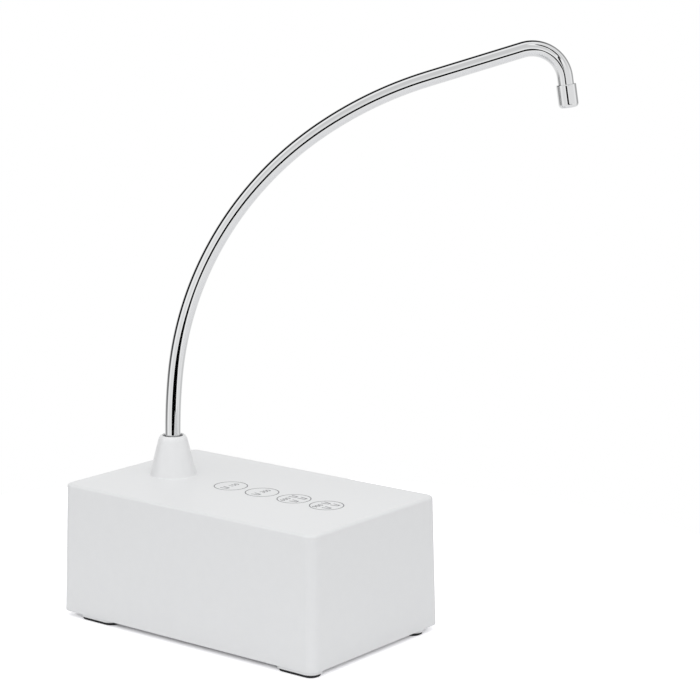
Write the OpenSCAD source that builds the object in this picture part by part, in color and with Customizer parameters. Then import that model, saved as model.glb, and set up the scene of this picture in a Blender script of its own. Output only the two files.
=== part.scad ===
// Electric water jug pump: a table-top box that draws water from a jug through a hose
// at its back and pours it from a swivelling tube on its top.
// Millimetres. +Z is up and the table is z = 0. The origin is the middle of the base.
// The user sits at -Y, and the spout rises near the +Y end.

/* [Body] */
// Length of the body along Y, at its lower edge
body_len = 164; // [160:1:190]
// Width of the body along X, at its lower edge
body_wid = 101; // [99:1:120]
// Height of the top face above the table
body_top = 69; // [67:0.5:80]
// Height of the body's lower edge above the table
rim_z = 2.9; // [2.4:0.1:3.4]
// Lean of the side walls in degrees
draft = 1.3; // [0:0.1:1.6]
// Thickness of the side walls
wall = 2.4; // [2:0.1:2.8]
// Thickness of the top
top_wall = 2.6; // [2:0.1:3.2]
// Radius of the upright edges
corner_r = 5; // [5:0.5:9]
// Radius of the edge round the top
top_edge_r = 1.5; // [1:0.25:4]
// Radius of the edges inside the body
inner_edge_r = 1; // [0.5:0.25:2]

/* [Base] */
// Thickness of the base plate
base_thk = 2; // [1.8:0.1:3]
// Gap between the base plate and the body's wall
base_gap = 0.25; // [0.15:0.05:0.4]
// Diameter of the screw posts in the body and of the sleeves on the base
post_d = 8; // [7:0.5:9]
// Height of the screw sleeves above the base plate
sleeve_h = 3.6; // [3:0.1:6]
// Distance of the base screws from the body's sides
screw_inset = 7; // [6.5:0.5:9]
// Gap between the heads of the base screws and the bosses of the rear feet
screw_foot_gap = 1; // [0.8:0.1:8]
// Thread diameter of the base screws
screw_d = 3; // [2.6:0.1:3.4]
// Length of the base screws under the head
screw_len = 12; // [10:1:18]
// Head diameter of the base screws
screw_head_d = 5.6; // [5:0.1:6]
// Head height of the base screws
screw_head_h = 1.6; // [1.2:0.1:2.2]
// Depth of the head's seat above the underside of the base
screw_recess = 3; // [2.6:0.1:3.6]
// Clearance round screws in their through holes
screw_clear = 0.2; // [0.1:0.05:0.3]

/* [Feet] */
// Length of a foot along Y
foot_len = 22; // [14:1:24]
// Width of a foot along X
foot_wid = 9; // [8.5:0.5:14]
// Corner radius of a foot
foot_corner_r = 4; // [2.5:0.5:4]
// Thickness of a foot below its boss
foot_thk = 1.6; // [0.8:0.1:1.9]
// Distance of the feet from the body's left side and front
foot_inset = 1.8; // [1.2:0.1:3]
// Distance of the right feet from the body's right side
right_foot_inset = 9.5; // [1.5:0.5:12]
// Distance of the rear feet from the body's back
rear_foot_inset = 11; // [8:0.5:13]
// How far the boss above a foot stands out round it
foot_boss_margin = 1; // [0.4:0.1:1.2]
// Diameter of the plug that holds a foot in the base
foot_plug_d = 5; // [4:0.5:6]
// Height of the plug above the foot
foot_plug_h = 2; // [1.6:0.1:2.2]

/* [Collar] */
// Distance of the collar's axis from the body's back
collar_inset = 31.5; // [29:0.5:34]
// Diameter of the collar at its base
collar_base_d = 24.4; // [22:0.2:30]
// Diameter of the collar at its mouth
collar_top_d = 13.2; // [12.6:0.2:16]
// Height of the collar above the top face
collar_h = 20.6; // [18:0.2:30]
// Diameter of the threaded shank through the top
shank_d = 16; // [14:0.5:18]
// Length of the shank below the top face
shank_len = 13; // [11.5:0.5:14]
// Clearance of a shank in its hole
shank_clear = 0.2; // [0.1:0.05:0.4]
// Width of the collar nut across its flats
nut_af = 22; // [20:0.5:26]
// Thickness of the collar nut
nut_h = 4; // [3:0.5:6]
// Length of the hose spigot below the shank
collar_spigot_len = 13; // [9:0.5:14]
// Outer diameter of the bush in the collar's mouth
bush_d = 10.2; // [9.6:0.1:11]
// Length of the bush
bush_len = 12; // [8:0.5:14]
// Depth of the bush below the collar's mouth
bush_recess = 0.6; // [0.3:0.1:1.5]
// Thickness of the O-rings that seal the tube
o_ring_d = 1.5; // [1.2:0.1:2]
// Height of the lower O-ring above the tube's seat
o_ring_low = 3; // [2:0.25:4]
// Distance between the O-rings
o_ring_pitch = 5; // [3.5:0.25:6]
// Spare width of an O-ring's groove
groove_spare = 0.3; // [0.2:0.05:0.5]

/* [Spout] */
// Outer diameter of the spout tube
tube_d = 8; // [7:0.1:8.4]
// Wall of the spout tube
tube_wall = 0.5; // [0.4:0.1:0.8]
// Depth of the tube's end below the collar's mouth
tube_insert = 32; // [31:0.5:32.5]
// Gap between the tube's end and its seat
tube_seat_gap = 0.2; // [0.1:0.05:0.3]
// Radial running clearance of the tube in the collar
spin_clear = 0.05; // [0.02:0.01:0.09]
// Bend radius where the tube leaves the collar
lead_r = 310; // [250:1:400]
// Turn of that first bend in degrees
lead_angle = 5.7; // [4:0.1:8]
// Bend radius of the arch
arch_r = 173; // [150:1:190]
// Turn of the arch in degrees
arch_angle = 50; // [45:0.5:55]
// Bend radius of the arch's flatter end
flat_r = 197; // [170:1:220]
// Turn of the arch's flatter end in degrees
flat_angle = 17; // [12:0.5:20]
// Length of the straight run after the arch
run_len = 48.5; // [30:0.5:60]
// Bend radius of the crook above the nozzle
crook_r = 16.4; // [14:0.2:20]
// Turn of the crook in degrees
crook_angle = 98.7; // [90:0.1:105]
// Length from the crook to the nozzle's mouth
tail_len = 15; // [12.5:0.5:20]
// Length of the bands that join the tube's bends
band_len = 0.8; // [0.6:0.1:1]
// How far those bands stand out from the tube's wall
band_rise = 0.03; // [0.02:0.01:0.05]
// Gap inside a band between the bends that it joins
bend_gap = 0.1; // [0.05:0.01:0.2]
// Swing of the spout from the front towards +X at rest, in degrees
swing = 35; // [0:1:60]
// Outer diameter of the nozzle sleeve
nozzle_d = 10; // [9.4:0.1:11]
// Length of the nozzle sleeve
nozzle_len = 11.5; // [8:0.5:12]
// Thickness of the lip at the nozzle's mouth
nozzle_lip = 1.2; // [0.8:0.1:1.6]
// Radius of the nozzle's lower edge
nozzle_edge_r = 1.2; // [0.4:0.1:1.2]
// Length of the stream former in the tube's end
former_len = 4; // [3:0.5:6]
// Diameter of the stream former's holes
former_hole_d = 1.4; // [1:0.1:1.5]

/* [Pump] */
// Number of teeth on each pump gear
gear_teeth = 12; // [10:1:14]
// Gear module
gear_module = 0.75; // [0.7:0.01:0.8]
// Height of a tooth above the pitch circle, in modules
tooth_above = 0.9; // [0.8:0.05:0.95]
// Depth of a tooth below the pitch circle, in modules
tooth_below = 1.25; // [1.2:0.05:1.3]
// Pressure angle of the gears in degrees
pressure_angle = 25; // [22:0.5:25]
// Play between the teeth along the pitch circle
backlash = 0.12; // [0.1:0.01:0.2]
// Face width of the gears
gear_face = 8; // [6:0.5:10]
// Gap between the gears' tips and the chamber
tip_gap = 0.2; // [0.15:0.05:0.3]
// Gap between the gears' faces and the chamber's ends
side_gap = 0.15; // [0.1:0.05:0.25]
// Least wall round the gear chamber
pump_wall = 3; // [2.6:0.1:3.6]
// Thickness of the wall between motor and gears
pump_back = 5; // [4.6:0.1:6]
// Thickness of the pump cover
cover_thk = 4; // [3:0.25:5]
// Thickness of the pump gasket
gasket_thk = 0.8; // [0.5:0.1:1.2]
// Depth of the socket that takes the motor's front end
socket_depth = 4; // [3:0.5:5]
// Wall of that socket
socket_wall = 2; // [1.5:0.1:2.4]
// Distance between the two pump ports
port_pitch = 12; // [12:0.25:13]
// Diameter of the idler pin
pin_d = 2; // [1.8:0.1:2.4]
// Depth of the idler pin in the pump's walls
pin_depth = 2.2; // [1.5:0.1:2.6]
// Diameter of the shaft seal
seal_d = 6; // [5:0.25:6.5]
// Thickness of the shaft seal
seal_thk = 2.3; // [1.8:0.1:2.4]
// Thread diameter of the pump screws
pump_screw_d = 2; // [1.8:0.1:2.2]
// Length of the pump screws under the head
pump_screw_len = 10; // [9:0.5:12]
// Head diameter of the pump screws
pump_screw_head_d = 3.6; // [3.2:0.1:4]
// Head height of the pump screws
pump_screw_head_h = 1.4; // [1:0.1:2]
// Distance of the pump screws from the pump's edges
pump_screw_inset = 2.4; // [2.2:0.1:2.6]

/* [Hoses] */
// Outer diameter of the hose spigots inside
spigot_d = 7; // [6.4:0.1:7.4]
// Bore of the spigots
spigot_bore = 4.5; // [4:0.1:5]
// Length of the pump's and the fitting's inner spigots
spigot_len = 10; // [8:0.5:11]
// Wall of the hoses
hose_wall = 1.5; // [1:0.1:1.8]
// Bend radius of the outlet hose
hose_bend_r = 16; // [14:0.5:17]
// Gap between a hose's end and what it stops at
hose_end_gap = 0.5; // [0.2:0.1:1]
// Thickness of a hose clip
clip_thk = 0.6; // [0.4:0.1:0.7]
// Width of a hose clip
clip_wid = 4; // [3:0.5:5]
// Distance of a clip from the hose's end
clip_inset = 2.5; // [1:0.5:3]
// Diameter of the jug hose's spigot at the back
jug_spigot_d = 8; // [7:0.1:9]
// Length of that spigot
jug_spigot_len = 14; // [10:0.5:20]
// Diameter of the hose fitting's flange
flange_d = 16; // [14:0.5:18]
// Thickness of the flange
flange_thk = 2; // [1.5:0.25:3]
// Diameter of the hose fitting's shank
fitting_shank_d = 10; // [9:0.25:11]
// Length of the hose fitting's shank
fitting_shank_len = 10; // [9.5:0.25:12]
// Diameter of the boss behind the flange
boss_d = 18; // [17:0.5:22]
// Depth of the boss
boss_depth = 6; // [5:0.25:6.5]
// Width of the fitting's nut across its flats
inlet_nut_af = 15; // [14:0.5:16]
// Thickness of the fitting's nut
inlet_nut_h = 3; // [2:0.25:3]

/* [Motor] */
// Diameter of the motor's can
can_d = 24.4; // [23:0.2:26]
// Length of the can
can_len = 30.8; // [29.6:0.2:34]
// Wall of the can
can_wall = 1; // [0.8:0.1:1.2]
// Diameter of the motor's shaft
shaft_d = 2; // [1.8:0.1:2.3]
// Radial running clearance of the shaft in its bearings
shaft_clear = 0.03; // [0.02:0.01:0.06]
// Radial gap round the shaft where it passes the pump's back wall
shaft_gap = 0.4; // [0.3:0.05:0.6]
// Diameter of the bearing bosses on the motor's ends
bearing_boss_d = 7; // [6.6:0.1:8]
// Length of the bearing bosses
bearing_boss_len = 1.5; // [1:0.1:1.8]
// Gap round the front boss in the pump's back
boss_gap = 0.1; // [0.05:0.05:0.2]
// Outer diameter of the bearings
bearing_d = 5; // [4.4:0.1:5.6]
// Length of the bearings
bearing_len = 2.5; // [2:0.1:2.6]
// Thickness of the end cap
endcap_thk = 4; // [3:0.25:5]
// Thickness of the magnets
magnet_thk = 1.9; // [1.5:0.1:2.4]
// How far the magnets reach beyond each end of the rotor's plates
magnet_reach = 2.5; // [1:0.25:2.5]
// Angle that each magnet covers, in degrees
magnet_arc = 130; // [100:5:150]
// Gap between magnets and rotor
air_gap = 0.5; // [0.4:0.05:0.8]
// Width of the rotor's slots
slot_w = 2; // [1.5:0.1:3]
// Depth of the rotor's slots
slot_depth = 4.5; // [3:0.25:5]
// Length of the windings beyond each end of the plates
winding_len = 3; // [2:0.25:3]
// How far the windings stay inside the rotor's edge
winding_inset = 0.8; // [0.4:0.1:1.5]
// Gap between the front windings and the can
winding_gap = 1; // [0.6:0.1:1.2]
// Diameter of the commutator
commutator_d = 5; // [4:0.1:6]
// Length of the commutator
commutator_len = 4.5; // [3:0.25:4.5]
// Gap between the commutator and the end cap
commutator_gap = 1.3; // [1:0.1:2]
// Gap between brushes and commutator
brush_gap = 0.15; // [0.1:0.05:0.3]
// Thickness of a brush
brush_thk = 1; // [0.6:0.1:1.4]
// Width of a brush
brush_wid = 3; // [2:0.25:4]
// Distance of the terminals from the motor's axis
terminal_x = 7; // [6:0.25:8]
// Width of a terminal
terminal_wid = 2.5; // [2:0.1:3]
// Length of a terminal
terminal_len = 5; // [4:0.25:6]
// Thickness of a terminal
terminal_thk = 0.5; // [0.4:0.1:0.8]
// Distance of a lead's joint on its terminal from the motor's end
terminal_joint = 3; // [2:0.25:3.5]

/* [Motor mount] */
// Thickness of the saddle under the motor
saddle_thk = 3; // [2.6:0.1:5]
// Length of the saddle
saddle_len = 20; // [14:1:20]
// Width of the saddle
saddle_wid = 22; // [18:0.5:22]
// Distance of the saddle's top below the motor's axis
saddle_drop = 4; // [2:0.5:8]
// Width of the strap over the motor
strap_wid = 10; // [8:0.5:14]
// Thickness of the strap
strap_thk = 1.6; // [1.2:0.1:2]
// Length of the strap's screw ears
ear_len = 7; // [6.4:0.1:8]
// Height of the strap's posts above the base plate
strap_post_h = 4; // [3.4:0.1:6]
// Diameter of the strap's posts
strap_post_d = 6.4; // [5:0.2:6.4]
// Thread diameter of the strap and board screws
small_screw_d = 2.5; // [2:0.1:2.6]
// Length of those screws under the head
small_screw_len = 5; // [4.5:0.25:5]
// Head diameter of those screws
small_head_d = 4.4; // [4:0.1:4.6]
// Head height of those screws
small_head_h = 1.6; // [1.2:0.1:2]

/* [Battery] */
// Diameter of a battery cell
cell_d = 18.3; // [18:0.1:18.6]
// Length of a battery cell
cell_len = 65; // [64:0.5:68]
// Distance between the cells' axes
cell_pitch = 19.5; // [19:0.1:20]
// Gap round the cells in their tray
cell_gap = 0.2; // [0.1:0.05:0.3]
// Wall of the tray
tray_wall = 1.6; // [1.2:0.1:2]
// Height of the tray's walls
tray_h = 12; // [10:0.5:12]
// Height of the tray's cheeks above the middle of the upper cell
cheek_rise = 2; // [1:0.25:6]
// Distance of the cheeks' ends from the ends of the cells
cheek_inset = 5; // [3:0.5:12]
// Gap between the tray and the body's front wall
tray_gap = 1.5; // [1:0.25:2]
// Thickness of the tabs on the cells
tab_thk = 0.4; // [0.3:0.05:0.6]
// Width of the tabs
tab_wid = 9; // [8.5:0.25:10]
// Thickness of the ears that take the leads
tab_ear_thk = 1; // [0.8:0.1:1.5]
// Length of those ears
tab_ear_len = 1.9; // [1.9:0.05:2.2]
// Diameter of the leads
lead_d = 1.6; // [1.2:0.1:1.8]
// Bend radius of the leads
lead_bend_r = 3; // [2.5:0.25:3.5]

/* [Boards] */
// Thickness of the circuit boards
board_thk = 1.6; // [1.2:0.1:2]
// Width of the control board along X
board_wid = 30; // [28:0.5:31]
// Length of the control board along Y
board_len = 68; // [66:0.5:70]
// Distance of the control board's near edge from the middle, along X
board_x = 8; // [7.5:0.25:8.5]
// Gap between the control board and the body's back wall
board_gap = 1.2; // [1:0.1:1.6]
// Height of the board's posts above the base plate
board_post_h = 5; // [4:0.25:6]
// Diameter of the board's posts
board_post_d = 5.4; // [5:0.1:6]
// Distance of the board's screws from its side and front edges
board_screw_inset = 3.5; // [3:0.25:4]
// Distance of the board's rear screws from its back edge
board_screw_rear = 9; // [8:0.5:12]
// Width of a plug socket on the boards
socket_wid = 4; // [3.5:0.25:5]
// Length of a plug socket on the boards
socket_len = 8; // [7:0.25:9]
// Height of a plug socket on the boards
socket_h = 4; // [3:0.25:4.5]
// Distance of the lead sockets from the board's front edge
socket_row = 18; // [16:0.5:20]
// Distance of the motor leads' socket from the board's near edge
motor_socket_inset = 5.5; // [5:0.25:6]
// Width of the chip on the control board
chip_wid = 8; // [5:0.5:9]
// Height of the chip
chip_h = 1.2; // [0.8:0.1:1.6]
// Width of the coil on the control board
coil_wid = 7; // [5:0.5:7]
// Height of the coil
coil_h = 4; // [3:0.25:5]
// Diameter of the capacitor on the control board
capacitor_d = 6.3; // [5:0.1:6.5]
// Height of the capacitor
capacitor_h = 8; // [5:0.5:10]
// Distance of coil and capacitor from the board's middle, along X
board_part_x = 8; // [7:0.25:8.5]
// Distance of coil and capacitor from the board's middle, along Y
board_part_y = 17.5; // [15:0.5:19]
// Width of the touch board along X
touch_wid = 22; // [20:0.5:26]
// Distance of the first key from the collar's axis
key_start = 39; // [36:0.5:42]
// Distance between keys
key_pitch = 20.5; // [19:0.25:21]
// Number of keys
key_count = 4; // [3:1:4]
// Length of the touch board beyond its end keys
touch_end = 10.5; // [9.5:0.25:11]
// Diameter of the electrode under a key
electrode_d = 14; // [10:0.5:16]
// Depth of an electrode's recess in the touch board
electrode_depth = 0.3; // [0.2:0.05:0.5]
// Width of the touch ribbon
ribbon_wid = 6; // [4:0.5:7]
// Thickness of the touch ribbon
ribbon_thk = 0.6; // [0.4:0.1:0.8]
// Bend radius of the touch ribbon
ribbon_r = 4; // [3:0.25:5]
// Distance of the touch ribbon from the control board's front edge
ribbon_inset = 3; // [1:0.25:4]
// Distance of the ribbon's socket from the control board's near edge
ribbon_socket_inset = 12; // [11:0.25:14]

/* [Charging socket] */
// Width of the charging socket
charge_wid = 8.94; // [8.5:0.02:9.5]
// Height of the charging socket
charge_h = 3.26; // [3:0.02:3.6]
// Length of the charging socket
charge_len = 7.35; // [6.5:0.05:8]
// Metal thickness of the charging socket
charge_wall = 0.3; // [0.2:0.05:0.4]
// Depth of the socket's mouth inside the body's back
charge_recess = 0.6; // [0.3:0.1:1]
// Clearance of the socket in the body's back wall
charge_clear = 0.25; // [0.15:0.05:0.4]
// Distance of the socket from the board's near edge
charge_x_offset = 15; // [10:0.5:20]
// Thickness of the socket's tongue
tongue_thk = 0.7; // [0.5:0.05:0.9]
// Width of the socket's tongue
tongue_wid = 6.7; // [6:0.1:7]
// Depth of the tongue's end behind the socket's mouth
tongue_recess = 0.6; // [0.4:0.1:1.2]
// Thickness of the block behind the tongue
tongue_back = 1.5; // [1:0.1:2]

/* [Hidden] */
$fn = 48;
over = 1;
sliver = 0.01;
lean = tan(draft);
half_x = body_wid / 2;
half_y = body_len / 2;
base_z = rim_z + base_thk;
sleeve_z = base_z + sleeve_h;
ceiling_z = body_top - top_wall;
screw_seat_z = rim_z + screw_recess;
screw_x = half_x - screw_inset;
left_foot_x = -half_x + foot_inset + foot_wid / 2;
right_foot_x = half_x - right_foot_inset - foot_wid / 2;
front_foot_y = -half_y + foot_inset + foot_len / 2;
rear_foot_y = half_y - rear_foot_inset - foot_len / 2;
screw_y = rear_foot_y - foot_len / 2 - foot_boss_margin - screw_foot_gap - screw_clear - screw_head_d / 2;

collar_y = half_y - collar_inset;
mouth_z = body_top + collar_h;
shank_z = body_top - shank_len;
tube_end_z = mouth_z - tube_insert;
seat_z = tube_end_z - tube_seat_gap;
tube_bore = tube_d - 2 * tube_wall;
swivel_bore = tube_d + 2 * spin_clear;
groove_d = swivel_bore + 2 * o_ring_d;

pitch_r = gear_teeth * gear_module / 2;
tooth_base_r = pitch_r * cos(pressure_angle);
tip_r = pitch_r + tooth_above * gear_module;
root_r = pitch_r - tooth_below * gear_module;
centre_dist = 2 * pitch_r;
chamber_r = tip_r + tip_gap;
half_tooth = 90 / gear_teeth - backlash / (2 * pitch_r) * 180 / PI;
flank_points = 4;

hose_d = spigot_d + 2 * hose_wall;
motor_x = -port_pitch / 2;
motor_z = base_z + saddle_thk + can_d / 2;
driven_z = motor_z + centre_dist;
port_z = motor_z + pitch_r;
inlet_x = motor_x - port_pitch / 2;
outlet_x = motor_x + port_pitch / 2;
pump_face_y = collar_y - hose_bend_r - spigot_len;
gasket_y = pump_face_y - cover_thk - gasket_thk;
chamber_y = gasket_y + gasket_thk - gear_face - 2 * side_gap;
motor_face_y = chamber_y - pump_back;
gear_y = chamber_y + side_gap;
pump_half_x = port_pitch / 2 + spigot_bore / 2 + pump_wall;
pump_half_z = pitch_r + chamber_r + pump_wall;

can_rear_y = motor_face_y - can_len;
can_bore = can_d - 2 * can_wall;
rotor_d = can_bore - 2 * magnet_thk - 2 * air_gap;
front_winding_y = motor_face_y - can_wall - winding_gap;
stack_len = can_len - can_wall - winding_gap - 2 * winding_len - commutator_len - commutator_gap - endcap_thk;
stack_y = front_winding_y - winding_len - stack_len;
rear_winding_y = stack_y - winding_len;
commutator_y = rear_winding_y - commutator_len;
endcap_y = can_rear_y + endcap_thk;
magnet_y = stack_y - magnet_reach;
magnet_len = stack_len + 2 * magnet_reach;
shaft_rear_y = can_rear_y - bearing_boss_len;
can_mid_y = motor_face_y - can_len / 2;
ear_mid_x = can_d / 2 + strap_thk + ear_len / 2;
strap_post_z = base_z + strap_post_h;

boss_face_y = half_y - boss_depth;
fitting_end_y = half_y - fitting_shank_len;
hose_start_y = pump_face_y + hose_end_gap;
hose_top_z = shank_z - hose_end_gap;
hose_bend_end_z = port_z + hose_bend_r;
inlet_hose_len = fitting_end_y - hose_end_gap - hose_start_y;

tray_front_y = -half_y + wall + tray_gap;
cell_y = tray_front_y + tray_wall + cell_gap + cell_d / 2;
tray_rear_y = cell_y + cell_d / 2 + cell_gap + tray_wall;
lower_cell_z = base_z + tray_wall + cell_gap + cell_d / 2;
upper_cell_z = lower_cell_z + cell_pitch;
tray_half_x = cell_len / 2 + tab_thk + cell_gap + tray_wall;
cell_lead_x = cell_len / 2 + tab_ear_len - lead_d / 2;

board_z = base_z + board_post_h;
board_top_z = board_z + board_thk;
board_rear_y = half_y - wall - board_gap;
board_front_y = board_rear_y - board_len;
socket_z = board_top_z + socket_h;
socket_row_y = board_front_y + socket_row;
lead_spacing = socket_len / 2;
motor_socket_x = board_x + motor_socket_inset;
lead_run_z = driven_z + pump_half_z + lead_bend_r;
board_mid_x = board_x + board_wid / 2;
board_mid_y = board_front_y + board_len / 2;
charge_x = board_x + charge_x_offset;
charge_z = board_top_z + charge_h / 2;
charge_mouth_y = half_y - lean * (charge_z - rim_z) - charge_recess;

first_key_y = collar_y - key_start;
touch_rear_y = first_key_y + touch_end;
touch_front_y = first_key_y - (key_count - 1) * key_pitch - touch_end;
touch_z = ceiling_z - board_thk;
ribbon_y = board_front_y + ribbon_inset;
ribbon_z = touch_z - socket_h / 2;
ribbon_x = board_x + ribbon_socket_inset;
ribbon_socket_y = ribbon_y - (socket_len - ribbon_wid) / 2;

spout_steps = [
    [tube_insert, lead_r, lead_angle, 0],
    [0, arch_r, arch_angle, 0],
    [0, flat_r, flat_angle, 0],
    [run_len, crook_r, crook_angle, 0],
    [tail_len - nozzle_lip, 0, 0, 0]
];

white = "#e8e9ea";
black = "#1b1b1c";
dark_grey = "#55575a";
bright = "#c9cccf";
steel = "#a4a8ac";
bronze = "#b08a55";
brass = "#c9a94e";
copper = "#b3683a";
silicone = "#dfe3e2";
grey = "#8d9194";
green = "#2f6d4a";
blue = "#3d6fb0";

// Rounded rectangle about the origin
module rounded_rect(x, y, r) {
    square([x - 2 * r, y], center = true);
    square([x, y - 2 * r], center = true);
    for (sx = [-1, 1], sy = [-1, 1])
        translate([sx * (x / 2 - r), sy * (y / 2 - r)])
            circle(r);
}

// Slot with round ends, as wide as x and as high as y
module round_slot(x, y) {
    square([x - y, y], center = true);
    for (sx = [-1, 1])
        translate([sx * (x - y) / 2, 0])
            circle(d = y);
}

// Block with leaning sides and a rounded top edge, set in from the body's faces
module leaning_block(inset, low, high, edge_r) {
    r = corner_r - inset;
    top_in = inset + lean * (high - edge_r - rim_z);
    hull()
        for (sx = [-1, 1], sy = [-1, 1]) {
            translate([sx * (half_x - inset - r), sy * (half_y - inset - r), low])
                cylinder(r = r, h = rim_z - low + sliver, $fn = 32);
            translate([sx * (half_x - top_in - r), sy * (half_y - top_in - r), high - edge_r])
                rotate_extrude($fn = 32)
                    intersection() {
                        translate([r - edge_r, 0])
                            circle(edge_r, $fn = 32);
                        translate([0, -edge_r])
                            square([r, 2 * edge_r]);
                    }
        }
}

// Moves its children to the motor's axis, with their own Z along +Y from y
module on_motor_axis(y) {
    translate([motor_x, y, motor_z])
        rotate([-90, 0, 0])
            children();
}

// Moves its children to a point, with their own Z along +Y
module facing_back(x, y, z) {
    translate([x, y, z])
        rotate([-90, 0, 0])
            children();
}

// Moves its children to the end of one step of a pipe: a straight, a roll and a bend
module after_step(step) {
    translate([0, 0, step[0]])
        rotate([0, 0, step[3]])
            translate([step[1], 0, 0])
                rotate([0, step[2], 0])
                    translate([-step[1], 0, 0])
                        children();
}

// Moves its children to the far end of a pipe
module pipe_end(steps, i = 0) {
    if (i < len(steps))
        after_step(steps[i])
            pipe_end(steps, i + 1)
                children();
    else
        children();
}

module pipe_section(outer, inner) {
    difference() {
        circle(d = outer);
        if (inner > 0)
            circle(d = inner);
    }
}

// Round pipe or wire: each step is [straight length, bend radius, bend angle, roll before it].
// Where band is set, a band of that length, a hair thicker than the wall, joins each step to the next.
module pipe(steps, outer, inner = 0, band = 0, i = 0) {
    if (i < len(steps)) {
        step = steps[i];
        trim = band > 0 && i < len(steps) - 1 ? bend_gap / step[1] * 180 / PI : 0;
        if (band > 0 && i > 0)
            linear_extrude(band, center = true)
                pipe_section(outer + 2 * band_rise, inner - 2 * band_rise);
        if (step[0] > 0)
            linear_extrude(step[0])
                pipe_section(outer, inner);
        if (step[2] > 0)
            translate([0, 0, step[0]])
                rotate([0, 0, step[3]])
                    translate([step[1], 0, 0])
                        rotate([90, 0, 180])
                            rotate_extrude(angle = step[2] - trim)
                                translate([step[1], 0])
                                    pipe_section(outer, inner);
        after_step(step)
            pipe(steps, outer, inner, band, i + 1);
    }
}

// Screw with its thread along +Z from the head's seat and its head below
module screw(d, length, head_d, head_h) {
    cylinder(d = d, h = length);
    translate([0, 0, -head_h])
        cylinder(d = head_d, h = head_h);
}

module at_base_screws() {
    for (sx = [-1, 1], sy = [-1, 1])
        translate([sx * screw_x, sy * screw_y, 0])
            children();
}

module housing() {
    color(white)
        difference() {
            union() {
                difference() {
                    leaning_block(0, rim_z, body_top, top_edge_r);
                    leaning_block(wall, rim_z - over, ceiling_z, inner_edge_r);
                }
                at_base_screws()
                    translate([0, 0, sleeve_z])
                        cylinder(d = post_d, h = ceiling_z - sleeve_z + top_wall / 2);
                facing_back(inlet_x, boss_face_y, port_z)
                    cylinder(d = boss_d, h = boss_depth);
            }
            translate([0, collar_y, ceiling_z - over])
                cylinder(d = shank_d + 2 * shank_clear, h = top_wall + 2 * over);
            at_base_screws()
                translate([0, 0, sleeve_z - over])
                    cylinder(d = screw_d, h = screw_seat_z + screw_len - sleeve_z + 2 * over);
            facing_back(inlet_x, boss_face_y - over, port_z)
                cylinder(d = fitting_shank_d + 2 * shank_clear, h = boss_depth + 2 * over);
            facing_back(charge_x, half_y - 2 * wall, charge_z)
                linear_extrude(3 * wall)
                    round_slot(charge_wid + 2 * charge_clear, charge_h + 2 * charge_clear);
        }
}

module at_feet() {
    for (x = [left_foot_x, right_foot_x], y = [front_foot_y, rear_foot_y])
        translate([x, y, 0])
            children();
}

module at_board_screws() {
    for (x = [board_x + board_screw_inset, board_x + board_wid - board_screw_inset],
         y = [board_front_y + board_screw_inset, board_rear_y - board_screw_rear])
        translate([x, y, 0])
            children();
}

module at_strap_screws() {
    for (side = [-1, 1])
        translate([motor_x + side * ear_mid_x, can_mid_y, 0])
            children();
}

module base_plate() {
    plate_inset = wall + base_gap + lean * base_thk;
    color(white)
        difference() {
            union() {
                translate([0, 0, rim_z])
                    linear_extrude(base_thk)
                        rounded_rect(body_wid - 2 * plate_inset, body_len - 2 * plate_inset,
                                     corner_r - wall);
                at_feet()
                    translate([0, 0, foot_thk])
                        linear_extrude(rim_z - foot_thk)
                            rounded_rect(foot_wid + 2 * foot_boss_margin, foot_len + 2 * foot_boss_margin,
                                         foot_corner_r + foot_boss_margin);
                at_base_screws()
                    translate([0, 0, rim_z])
                        cylinder(d = post_d, h = sleeve_z - rim_z);
                at_board_screws()
                    translate([0, 0, rim_z])
                        cylinder(d = board_post_d, h = board_z - rim_z);
                at_strap_screws()
                    translate([0, 0, rim_z])
                        cylinder(d = strap_post_d, h = strap_post_z - rim_z);
            }
            at_feet()
                translate([0, 0, foot_thk - over])
                    cylinder(d = foot_plug_d, h = foot_plug_h + over);
            at_base_screws() {
                translate([0, 0, rim_z - over])
                    cylinder(d = screw_head_d + 2 * screw_clear, h = screw_recess + over);
                translate([0, 0, screw_seat_z - over])
                    cylinder(d = screw_d + 2 * screw_clear, h = sleeve_z - screw_seat_z + 2 * over);
            }
            at_board_screws()
                translate([0, 0, board_top_z - small_screw_len])
                    cylinder(d = small_screw_d, h = small_screw_len);
            at_strap_screws()
                translate([0, 0, strap_post_z + strap_thk - small_screw_len])
                    cylinder(d = small_screw_d, h = small_screw_len);
        }
}

module foot(x, y) {
    color(black)
        translate([x, y, 0]) {
            linear_extrude(foot_thk)
                rounded_rect(foot_wid, foot_len, foot_corner_r);
            cylinder(d = foot_plug_d, h = foot_thk + foot_plug_h);
        }
}

module foot_front_left() {
    foot(left_foot_x, front_foot_y);
}

module foot_front_right() {
    foot(right_foot_x, front_foot_y);
}

module foot_rear_left() {
    foot(left_foot_x, rear_foot_y);
}

module foot_rear_right() {
    foot(right_foot_x, rear_foot_y);
}

module base_screws() {
    color(steel)
        at_base_screws()
            translate([0, 0, screw_seat_z])
                screw(screw_d, screw_len, screw_head_d, screw_head_h);
}

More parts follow.
